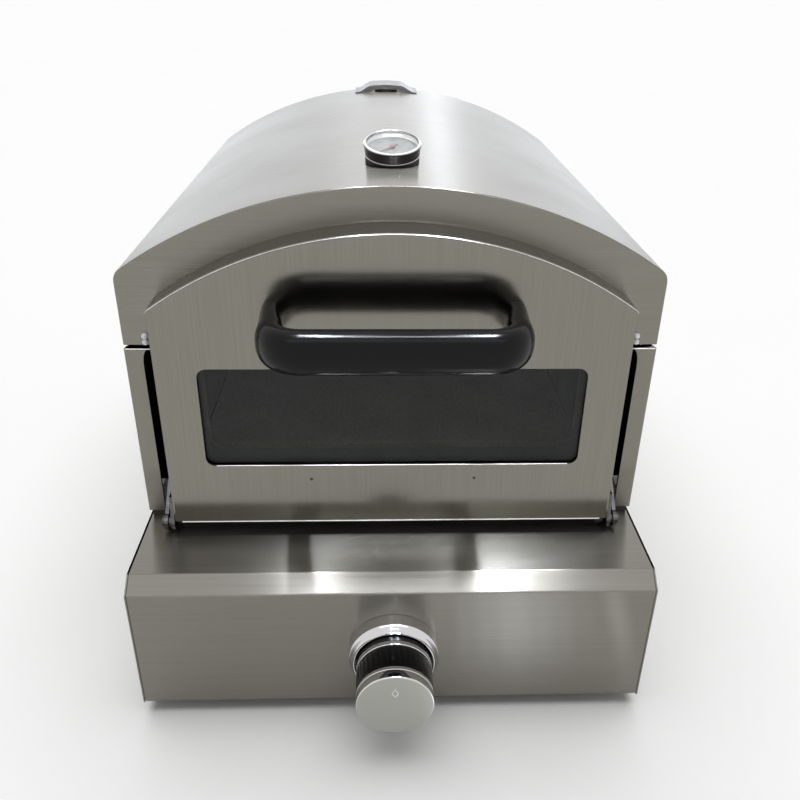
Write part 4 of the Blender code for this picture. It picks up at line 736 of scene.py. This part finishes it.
def dress(obj, material):
    """Gives a piece one of the materials, in place of what it wore."""
    obj.data.materials.clear()
    obj.data.materials.append(MATERIALS[material])


for finish, names in FINISHES.items():
    for node_name in names:
        dress(cad_nodes[node_name], finish)


# Small fittings


def add_piece(name, mesh, material, body, place=Matrix.Identity(4)):
    """A piece at its place, with its finish, that moves with one body of the oven."""
    obj = bpy.data.objects.new(name, mesh)
    obj.matrix_world = place
    bpy.context.scene.collection.objects.link(obj)
    dress(obj, material)
    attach(obj, body)
    return obj


def finished_mesh(name, bm):
    """The mesh of a shape, its doubled points merged and its curves shaded smooth."""
    bmesh.ops.remove_doubles(bm, verts=bm.verts, dist=MERGE_DISTANCE)
    bmesh.ops.recalc_face_normals(bm, faces=bm.faces)
    mesh = bpy.data.meshes.new(name)
    bm.to_mesh(mesh)
    bm.free()
    mesh.shade_smooth()
    mesh.set_sharp_from_angle(angle=SMOOTH_ANGLE)
    return mesh


def join_rings(bm, rings):
    """Adds the faces between each ring of points and the next."""
    for ring, following in zip(rings, rings[1:]):
        for i in range(len(ring)):
            j = (i + 1) % len(ring)
            bm.faces.new((ring[i], ring[j], following[j], following[i]))


def turn_profile(bm, profile, steps, place=Matrix.Identity(4)):
    """Adds a profile of radius and height, turned about the place's own Z."""
    rings = []
    for radius, height in profile:
        ring = []
        for i in range(steps):
            angle = 2 * math.pi * i / steps
            point = Vector((radius * math.cos(angle), radius * math.sin(angle), height))
            ring.append(bm.verts.new(place @ point))
        rings.append(ring)
    join_rings(bm, rings)


def sized(shares, radius, height):
    """A profile in shares of a radius and a height, at its real size."""
    return [(radius * across, height * up) for across, up in shares]


def hoop(bm, radius, thickness, height=0.0, place=Matrix.Identity(4)):
    """Adds a round wire bent into a circle."""
    profile = []
    for i in range(RING_SIDES + 1):
        angle = 2 * math.pi * i / RING_SIDES
        profile.append((radius + thickness * math.cos(angle), height + thickness * math.sin(angle)))
    turn_profile(bm, profile, RING_STEPS, place)


def slab(bm, size, place):
    """Adds a thin bar of this size about the place's origin."""
    made = bmesh.ops.create_cube(bm, size=1.0)["verts"]
    bmesh.ops.scale(bm, verts=made, vec=size)
    bmesh.ops.transform(bm, matrix=place, verts=made)


def facing(place, direction):
    """A place whose own Z points in this direction."""
    turn = Vector(direction).to_track_quat("Z", "Y").to_matrix().to_4x4()
    return Matrix.Translation(place) @ turn


def cut_mesh(body, cutter):
    """The body's mesh less the cutter's."""
    objects = [bpy.data.objects.new(mesh.name, mesh) for mesh in (body, cutter)]
    for obj in objects:
        bpy.context.scene.collection.objects.link(obj)
    modifier = objects[0].modifiers.new("recess", "BOOLEAN")
    modifier.operation = "DIFFERENCE"
    modifier.solver = "EXACT"
    modifier.object = objects[1]
    graph = bpy.context.evaluated_depsgraph_get()
    graph.update()
    mesh = bpy.data.meshes.new_from_object(objects[0].evaluated_get(graph))
    for obj in objects:
        bpy.data.objects.remove(obj)
    return mesh


def screw_mesh(radius, height):
    """A pan head with a cross recess, its seat at zero."""
    head = bmesh.new()
    turn_profile(head, sized(SCREW_SHARES, radius, height), SMALL_STEPS)
    mesh = finished_mesh("screw", head)
    for angle in (0.0, math.pi / 2):
        slot = bmesh.new()
        turn = Matrix.Rotation(angle, 4, "Z") @ Matrix.Translation((0.0, 0.0, height))
        slab(slot, (SLOT_LONG, SLOT_WIDE, SLOT_SHARE * height), turn)
        mesh = cut_mesh(mesh, finished_mesh("screw_slot", slot))
    return mesh


def add_screws():
    """Screws round the rear panels, and inside the door where the handle is held."""
    mesh = screw_mesh(SCREW_RADIUS, SCREW_HEIGHT)
    back = (0.0, 1.0, 0.0)
    base_low, base_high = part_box("base_back")
    body_low, body_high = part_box("body_back")
    hood_low, hood_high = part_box("hood_back")
    half = body_high[0] - SCREW_INSET
    places = []
    for x in (-half, 0.0, half):
        places.append((x, base_high[1], base_high[2] - SCREW_INSET))
        places.append((x, base_high[1], base_low[2] + SCREW_INSET))
        places.append((x, body_high[1], body_high[2] - SCREW_INSET))
        places.append((x, body_high[1], body_low[2] + SCREW_INSET))
        places.append((x, hood_high[1], hood_low[2] + SCREW_INSET))
    for x in (-half / 2, half / 2):
        places.append((x, hood_high[1], (hood_low[2] + 2 * hood_high[2]) / 3))
    for i, place in enumerate(places):
        add_piece(f"rear_screw_{i + 1}", mesh, "chrome", "oven", facing(place, back))
    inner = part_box("door_inner")
    handle_low, handle_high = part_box("door_handle")
    height = (handle_low[2] + handle_high[2]) / 2
    reach = handle_high[0] - SCREW_INSET
    mesh = screw_mesh(SCREW_RADIUS, INNER_SCREW_HEIGHT)
    for side, x in (("left", -reach), ("right", reach)):
        place = facing((x, inner[1][1], height), back)
        add_piece(f"handle_screw_{side}", mesh, "chrome", "door", place)


def add_rivets():
    """Flat rivet heads along the body sides where the liner and the hood are held."""
    bm = bmesh.new()
    turn_profile(bm, sized(RIVET_SHARES, RIVET_RADIUS, RIVET_HEIGHT), SMALL_STEPS)
    mesh = finished_mesh("rivet", bm)
    low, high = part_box("body_side_right")
    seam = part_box("hood_shell")[0][2]
    for side, sign in (("left", -1.0), ("right", 1.0)):
        for i in range(RIVETS_IN_ROW):
            y = low[1] + (high[1] - low[1]) * (i + 0.5) / RIVETS_IN_ROW
            for row, z in (("lower", seam - SCREW_INSET), ("upper", seam + SCREW_INSET)):
                place = facing((sign * high[0], y, z), (sign, 0.0, 0.0))
                add_piece(f"rivet_{row}_{side}_{i + 1}", mesh, "mill_steel", "oven", place)


def add_gauge_print():
    """Ticks and plain numbers on the thermometer's face, and a bead round its case."""
    gauge = Matrix.Translation((0.0, PANEL_Y + GAUGE_SETBACK, CROWN_Z))
    gauge = gauge @ Matrix.Rotation(GAUGE_TILT, 4, "X")
    bm = bmesh.new()
    for i in range(TICKS):
        angle = DIAL_START - DIAL_SWEEP * i / (TICKS - 1)
        length = TICK_SHORT if i % TICKS_PER_NUMBER else TICK_LONG
        place = Matrix.Rotation(angle, 4, "Z")
        place = place @ Matrix.Translation((TICK_RADIUS - length / 2, 0.0, DIAL_FACE + DIAL_PRINT / 2))
        slab(bm, (length, TICK_WIDTH, DIAL_PRINT), gauge @ place)
    add_piece("dial_ticks", finished_mesh("dial_ticks", bm), "dial_ink", "oven")
    for i in range(0, TICKS, TICKS_PER_NUMBER):
        angle = DIAL_START - DIAL_SWEEP * i / (TICKS - 1)
        label = bpy.data.curves.new(f"dial_number_{i}", "FONT")
        label.body = str(NUMBER_STEP * i // TICKS_PER_NUMBER)
        label.size = NUMBER_SIZE
        label.align_x = "CENTER"
        label.align_y = "CENTER"
        label.extrude = DIAL_PRINT / 2
        spot = Matrix.Translation(
            (NUMBER_RADIUS * math.cos(angle), NUMBER_RADIUS * math.sin(angle), DIAL_FACE + DIAL_PRINT / 2)
        )
        add_piece(f"dial_number_{i}", label, "dial_ink", "oven", gauge @ spot)
    bead = bmesh.new()
    hoop(bead, CASE_RADIUS, BEAD, CASE_BEAD_HEIGHT, gauge)
    add_piece("gauge_bead", finished_mesh("gauge_bead", bead), "chrome", "oven")


def rounding(centre, radius, start, end):
    """Points of an arc in a profile, from one angle to another, in degrees."""
    points = []
    for i in range(ROUND_STEPS + 1):
        angle = math.radians(start + (end - start) * i / ROUND_STEPS)
        points.append((centre[0] + radius * math.cos(angle), centre[1] + radius * math.sin(angle)))
    return points


def wire(bm, start, end, radius, steps=EDGE_SIDES):
    """Adds a fine rod with pointed ends between two points."""
    start = Vector(start)
    end = Vector(end)
    length = (end - start).length
    profile = [(0.0, 0.0), (radius, radius), (radius, length - radius), (0.0, length)]
    turn_profile(bm, profile, steps, facing(start, end - start))


def turned_piece(name, profile, material, body, node):
    """A finely turned piece on the knob's axis that stands for a coarser node."""
    bm = bmesh.new()
    place = facing((0.0, PANEL_Y, KNOB_Z), (0.0, -1.0, 0.0))
    turn_profile(bm, [*profile, profile[0]], KNOB_STEPS, place)
    piece = add_piece(name, finished_mesh(name, bm), material, body)
    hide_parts(node)


def add_knob():
    """The bezel with its rounded shoulder and crowned rim, the knob's ring and its plated cap."""
    inner = BEZEL_RADIUS - BEZEL_WALL
    fillet = BEZEL_ROUND
    shoulder = BEZEL_RADIUS - fillet
    profile = [(inner, BEZEL_REAR), (BEZEL_RADIUS, BEZEL_REAR)]
    profile += rounding((shoulder, BEZEL_SKIRT - fillet), fillet, 0, 50)
    for i in range(1, ROUND_STEPS):
        share = i / ROUND_STEPS
        crown = BEZEL_CROWN * math.sin(math.pi * share)
        radius = shoulder + (BEZEL_MOUTH + fillet - shoulder) * share
        rise = (BEZEL_HEIGHT - BEZEL_SKIRT - fillet / 2) * share
        profile.append((radius, BEZEL_SKIRT + rise + crown))
    profile += rounding((BEZEL_MOUTH + fillet, BEZEL_HEIGHT - fillet), fillet, 60, 180)
    profile += [(BEZEL_MOUTH, BEZEL_HEIGHT - BEZEL_WALL), (inner, BEZEL_SKIRT - BEZEL_WALL)]
    turned_piece("bezel", profile, "chrome", "oven", "knob_bezel")
    fillet = RING_ROUND
    profile = [(RING_INNER, RING_LOW)]
    profile += rounding((RING_RADIUS - fillet, RING_LOW + fillet), fillet, -90, 0)
    profile += rounding((RING_RADIUS - fillet, RING_HIGH - fillet), fillet, 0, 90)
    profile.append((RING_INNER, RING_HIGH))
    turned_piece("ring", profile, "chrome", "knob", "knob_ring")
    fillet = CAP_ROUND
    rear = fillet / 2
    groove = [(CAP_RADIUS, -CAP_GROOVE), (CAP_RADIUS - CAP_GROOVE, 0.0), (CAP_RADIUS, CAP_GROOVE)]
    profile = [(0.0, CAP_LOW), (CAP_RADIUS - rear, CAP_LOW)]
    profile += rounding((CAP_RADIUS - rear, CAP_LOW + rear), rear, -90, 0)
    profile += [(radius, CAP_GROOVE_AT + rise) for radius, rise in groove]
    profile += rounding((CAP_RADIUS - fillet, KNOB_FACE_REACH - fillet), fillet, 0, 90)
    profile.append((0.0, KNOB_FACE_REACH))
    turned_piece("cap", profile, "knob_plating", "knob", "knob_cap")
    bm = bmesh.new()
    face = PANEL_Y - KNOB_FACE_REACH
    high = KNOB_Z + MARK_RISE + MARK_TALL / 2
    low = KNOB_Z + MARK_RISE - MARK_TALL / 2
    lowest = low - MARK_TALL
    corners = [(0.0, face, high), (MARK_HALF, face, low), (0.0, face, lowest), (-MARK_HALF, face, low)]
    for start, end in zip(corners, [*corners[1:], corners[0]]):
        wire(bm, start, end, MARK_WIRE)
    add_piece("knob_mark", finished_mesh("knob_mark", bm), "chrome", "knob")


def add_bumpers():
    """Two soft domes on a thin foot at each end of the hood's seam."""
    for side in ("left", "right"):
        low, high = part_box(f"hood_bumper_{side}")
        radius = (high[0] - low[0]) / 2
        across = (low[0] + high[0]) / 2
        back = high[1]
        bm = bmesh.new()
        for z in (low[2] + radius, high[2] - radius):
            tall = high[1] - low[1] - BUMPER_BASE
            profile = [(0.0, 0.0), (radius, 0.0), (radius, BUMPER_BASE)]
            for i in range(1, DOME_STEPS + 1):
                angle = math.pi / 2 * i / DOME_STEPS
                profile.append((radius * math.cos(angle), BUMPER_BASE + tall * math.sin(angle)))
            turn_profile(bm, profile, SMALL_STEPS, facing((across, back, z), (0.0, -1.0, 0.0)))
        piece = add_piece(f"bumper_{side}", finished_mesh(f"bumper_{side}", bm), "silicone", "oven")
        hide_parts(f"hood_bumper_{side}")


def add_weld_marks():
    """The two small marks that the window frame's studs leave below the window."""
    bm = bmesh.new()
    turn_profile(bm, sized(WELD_SHARES, WELD_RADIUS, WELD_HEIGHT), SMALL_STEPS)
    mesh = finished_mesh("weld_mark", bm)
    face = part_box("door_skin")[0][1]
    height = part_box("window_retainer")[0][2] + WELD_RADIUS
    for side, x in (("left", -WELD_HALF_PITCH), ("right", WELD_HALF_PITCH)):
        place = facing((x, face, height), (0.0, -1.0, 0.0))
        add_piece(f"weld_mark_{side}", mesh, "burnt_steel", "door", place)


def add_inlet_thread():
    """Rings round the inlet's end, where a hose screws on."""
    low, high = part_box("inlet_fitting")
    axis = ((low[0] + high[0]) / 2, high[1], (low[2] + high[2]) / 2)
    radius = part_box("gas_pipe")[1][2] - KNOB_Z + THREAD_STANDOFF
    bm = bmesh.new()
    for i in range(THREADS):
        down = -THREAD_PITCH * (i + THREAD_START_SHARE)
        hoop(bm, radius, BEAD, down, facing(axis, (0.0, 1.0, 0.0)))
    add_piece("inlet_thread", finished_mesh("inlet_thread", bm), "brass", "oven")


def add_handle():
    """The D handle in a fine mesh: slim legs that swell into a full bar."""
    low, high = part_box("door_handle")
    foot = high[1]
    bar = low[1] + HANDLE_BAR_DEPTH / 2
    leg = high[0] - HANDLE_BAR_DEPTH / 2
    height = (low[2] + high[2]) / 2
    path = []
    for i in range(HANDLE_LEG_STEPS):
        share = i / HANDLE_LEG_STEPS
        path.append((-leg, foot + (bar + HANDLE_BEND - foot) * share))
    for i in range(HANDLE_BEND_STEPS + 1):
        angle = math.pi / 2 * i / HANDLE_BEND_STEPS
        path.append(
            (HANDLE_BEND * (1 - math.cos(angle)) - leg, bar + HANDLE_BEND * (1 - math.sin(angle)))
        )
    path += [(-x, y) for x, y in reversed(path)]
    bm = bmesh.new()
    rings = []
    last = len(path) - 1
    for i, (x, y) in enumerate(path):
        before = Vector(path[max(i - 1, 0)])
        along = (Vector(path[min(i + 1, last)]) - before).normalized()
        across = Vector((along.y, -along.x))
        swell = min(1.0, (foot - y) / (foot - bar))
        swell = swell * swell * (3 - 2 * swell)
        half_width = (HANDLE_LEG_WIDTH + (HANDLE_BAR_DEPTH - HANDLE_LEG_WIDTH) * swell) / 2
        half_height = (HANDLE_LEG_HEIGHT + (high[2] - low[2] - HANDLE_LEG_HEIGHT) * swell) / 2
        centre = Vector((x, y)) + across * (HANDLE_BAR_DEPTH / 2 - half_width) * (1 - swell)
        ring = []
        for j in range(HANDLE_SIDES):
            angle = 2 * math.pi * j / HANDLE_SIDES
            cosine = math.cos(angle)
            sine = math.sin(angle)
            outward = half_width * math.copysign(abs(cosine) ** (2 / HANDLE_POWER), cosine)
            upward = half_height * math.copysign(abs(sine) ** (2 / HANDLE_POWER), sine)
            ring.append(bm.verts.new((*(centre + across * outward), height + upward)))
        rings.append(ring)
    join_rings(bm, rings)
    bm.faces.new(rings[0])
    bm.faces.new(rings[-1])
    handle = add_piece("handle", finished_mesh("handle", bm), "gloss_black", "door")
    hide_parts("door_handle")


def add_edge(name, points, body, radius=EDGE_RADIUS):
    """A fine bright rim along a folded or cut sheet's edge, where it catches the light; its pale colour is
    partly a painted glint.
    """
    bm = bmesh.new()
    for start, end in zip(points, points[1:]):
        wire(bm, start, end, radius)
    add_piece(name, finished_mesh(name, bm), "bright_edge", body)


def outline(points):
    """The upper side of the hull of points in a plane, from left to right."""
    hull = []
    for point in sorted(points):
        while len(hull) > 1:
            ahead = (hull[-1][0] - hull[-2][0], hull[-1][1] - hull[-2][1])
            beyond = (point[0] - hull[-1][0], point[1] - hull[-1][1])
            if ahead[0] * beyond[1] - ahead[1] * beyond[0] < 0:
                break
            hull.pop()
        hull.append(point)
    return hull


def add_edges():
    """Bright rims on the door's hem and arch, the window's lower cut edge and the side flanges' tops."""
    skin_low, skin_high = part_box("door_skin")
    face = skin_low[1] + EDGE_RADIUS / 2
    half = skin_high[0] - EDGE_INSET
    hem = skin_low[2] + EDGE_RADIUS / 2
    add_edge("door_hem", [(-half, face, hem), (half, face, hem)], "door")
    half = skin_high[0] - WINDOW_MARGIN - WINDOW_CORNER
    sill = skin_low[2] + WINDOW_RAISE
    add_edge("window_edge", [(-half, face, sill), (half, face, sill)], "door")
    front = [v.co for v in cad_nodes["door_skin"].data.vertices if v.co.y < skin_low[1] + EDGE_RADIUS]
    arch = [(x, face, z - EDGE_RADIUS / 2) for x, z in outline([(v.x, v.z) for v in front]) if z > ARCH_FROM]
    add_edge("door_arch", arch, "door", ARCH_RADIUS)
    low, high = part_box("body_side_right")
    seam = high[2] - EDGE_RADIUS
    front = low[1] - EDGE_RADIUS / 2
    inner = low[0] + EDGE_INSET / 2
    outer = high[0] - EDGE_RADIUS
    for side, sign in (("left", -1.0), ("right", 1.0)):
        add_edge(f"seam_edge_{side}", [(sign * inner, front, seam), (sign * outer, front, seam)], "oven")


def add_rounded(node, body):
    """A node's own shape, with the facets of its curves shaded as one and its folds kept sharp."""
    bm = bmesh.new()
    bm.from_mesh(cad_nodes[node].data)
    finish = cad_nodes[node].data.materials[0].name
    piece = add_piece(f"{node}_rounded", finished_mesh(f"{node}_rounded", bm), finish, body)
    modifier = piece.modifiers.new("even_flats", "WEIGHTED_NORMAL")
    modifier.keep_sharp = True
    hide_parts(node)


def add_sill_shade_strip():
    """A black strip that closes the slit between the shelf and the body, behind the door's foot, as painted
    shade under the door.
    """
    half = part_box("door_inner")[1][0]
    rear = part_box("body_side_right")[0][1] - SHADE_STRIP_GAP
    low = SHELF_Z + SHADE_STRIP_GAP
    bm = bmesh.new()
    size = (2 * half, SHADE_STRIP_DEPTH, SHADE_STRIP_HEIGHT)
    slab(bm, size, Matrix.Translation((0.0, rear - SHADE_STRIP_DEPTH / 2, low + SHADE_STRIP_HEIGHT / 2)))
    bmesh.ops.bevel(bm, geom=bm.edges[:], offset=SHADE_STRIP_EDGE, segments=2, affect="EDGES", profile=0.5)
    add_piece("sill_shade_strip", finished_mesh("sill_shade_strip", bm), "rubber", "oven")


for body, names in ROUNDED.items():
    for node_name in names:
        add_rounded(node_name, body)
add_handle()
add_edges()
# A black strip as painted shade under the door
add_sill_shade_strip()
add_screws()
add_rivets()
add_gauge_print()
add_knob()
add_bumpers()
add_weld_marks()
add_inlet_thread()


# Floor, light and camera


def add_floor():
    """A level floor that reaches far beyond the view."""
    bm = bmesh.new()
    bmesh.ops.create_grid(bm, x_segments=1, y_segments=1, size=FLOOR_HALF)
    mesh = bpy.data.meshes.new("floor")
    bm.to_mesh(mesh)
    bm.free()
    floor = bpy.data.objects.new("floor", mesh)
    bpy.context.scene.collection.objects.link(floor)
    dress(floor, "pale_floor")


def backdrop_ray(tree):
    """1 for the rays that show the backdrop: straight to the camera, or by way of metal or glass."""
    path = tree.nodes.new("ShaderNodeLightPath").outputs
    shown = path["Is Camera Ray"]
    for way in ("Is Glossy Ray", "Is Transmission Ray"):
        either = tree.nodes.new("ShaderNodeMath")
        either.operation = "MAXIMUM"
        tree.links.new(shown, either.inputs[0])
        tree.links.new(path[way], either.inputs[1])
        shown = either.outputs[0]
    return shown


def add_world():
    """Soft light that differs with height for matt surfaces, and a plain backdrop as pale as the floor."""
    world = bpy.data.worlds.new("studio")
    world.use_nodes = True
    tree = world.node_tree
    height = tree.nodes.new("ShaderNodeSeparateXYZ")
    tree.links.new(tree.nodes.new("ShaderNodeTexCoord").outputs["Generated"], height.inputs[0])
    ramp = tree.nodes.new("ShaderNodeValToRGB")
    tree.links.new(height.outputs[2], ramp.inputs["Fac"])
    stops = ramp.color_ramp.elements
    while len(stops) < len(SKY):
        stops.new(1.0)
    for stop, (rise, level) in zip(stops, SKY):
        stop.position = rise
        stop.color = (level, level, level, 1.0)
    shown = tree.nodes.new("ShaderNodeMix")
    shown.data_type = "RGBA"
    tree.links.new(backdrop_ray(tree), shown.inputs[MIX_FACTOR])
    tree.links.new(ramp.outputs["Color"], shown.inputs[MIX_A])
    shown.inputs[MIX_B].default_value = BACKDROP
    tree.links.new(shown.outputs[MIX_RESULT], tree.nodes["Background"].inputs["Color"])
    bpy.context.scene.world = world


def add_softbox(name, place, aim, width, length, level, turn=0.0):
    """A rectangular lamp of this brightness, in the units in which the world's white is 1.

    Its length runs front to back before it is turned about the vertical. It shows only in gloss.
    """
    lamp = bpy.data.lights.new(name, "AREA")
    lamp.color = COOL
    lamp.shape = "RECTANGLE"
    lamp.size = width
    lamp.size_y = length
    lamp.energy = level * math.pi * width * length
    obj = bpy.data.objects.new(name, lamp)
    obj.location = place
    aimed = (Vector(aim) - Vector(place)).to_track_quat("-Z", "Y").to_matrix()
    obj.rotation_euler = (Matrix.Rotation(turn, 3, "Z") @ aimed).to_euler()
    obj.visible_camera = False
    obj.visible_diffuse = False
    bpy.context.scene.collection.objects.link(obj)


def add_level_lamp(name, place, target, width, length, level, turn=0.0):
    """A lamp that faces straight down or up, towards a target height."""
    aim = (place[0], place[1] + AIM_LEAD, target)
    add_softbox(name, place, aim, width, length, level, turn)


def add_lamps():
    """Ceiling tubes, wall lamps, and stacks of lamps whose glow fades towards its sides."""
    for lamp in CEILING_TUBES:
        add_level_lamp(**lamp, target=0.0)
    for lamp in WALL_LAMPS:
        add_softbox(**lamp)
    for i, width in enumerate(REAR_GLOW_WIDTHS):
        place = REAR_GLOW_PLACE + REAR_GLOW_STEP * i
        add_softbox(f"rear_bright_{i + 1}", place, REAR_GLOW_AIM, width, REAR_GLOW_LENGTH, REAR_GLOW_LEVEL)
    for i, glow in enumerate(LOW_GLOWS):
        place = (glow["x"], LOW_GLOW_Y, LOW_GLOW_Z + LOW_GLOW_STEP * i)
        add_level_lamp(f"low_{i + 1}", place, LOW_GLOW_TARGET, glow["width"], LOW_GLOW_LENGTH, glow["level"])


def add_daylight():
    """Even soft light from above for the matt surfaces."""
    lamp = bpy.data.lights.new("daylight", "SUN")
    lamp.energy = DAYLIGHT * math.pi
    lamp.angle = DAYLIGHT_ANGLE
    obj = bpy.data.objects.new("daylight", lamp)
    obj.rotation_euler = (DAYLIGHT_LEAN, 0.0, 0.0)
    obj.visible_glossy = False
    bpy.context.scene.collection.objects.link(obj)


def add_camera():
    """The photograph's view: a place, three angles and a lens that is a little off its centre."""
    ahead = Vector(
        (math.sin(YAW) * math.cos(PITCH), math.cos(YAW) * math.cos(PITCH), -math.sin(PITCH))
    )
    level = Vector((math.cos(YAW), -math.sin(YAW), 0.0))
    above = level.cross(ahead)
    side = math.cos(ROLL) * level + math.sin(ROLL) * above
    top = math.cos(ROLL) * above - math.sin(ROLL) * level
    lens = bpy.data.cameras.new("camera")
    lens.sensor_width = SENSOR
    lens.lens = FOCAL / IMAGE * SENSOR
    lens.shift_x = (IMAGE / 2 - CENTRE[0]) / IMAGE
    lens.shift_y = (CENTRE[1] - IMAGE / 2) / IMAGE
    camera = bpy.data.objects.new("camera", lens)
    bpy.context.scene.collection.objects.link(camera)
    pose = Matrix((side, top, -ahead)).transposed().to_4x4()
    pose.translation = EYE
    camera.matrix_world = pose
    bpy.context.scene.camera = camera


add_floor()
add_world()
add_lamps()
add_daylight()
add_camera()
bpy.context.scene.view_settings.view_transform = "Standard"
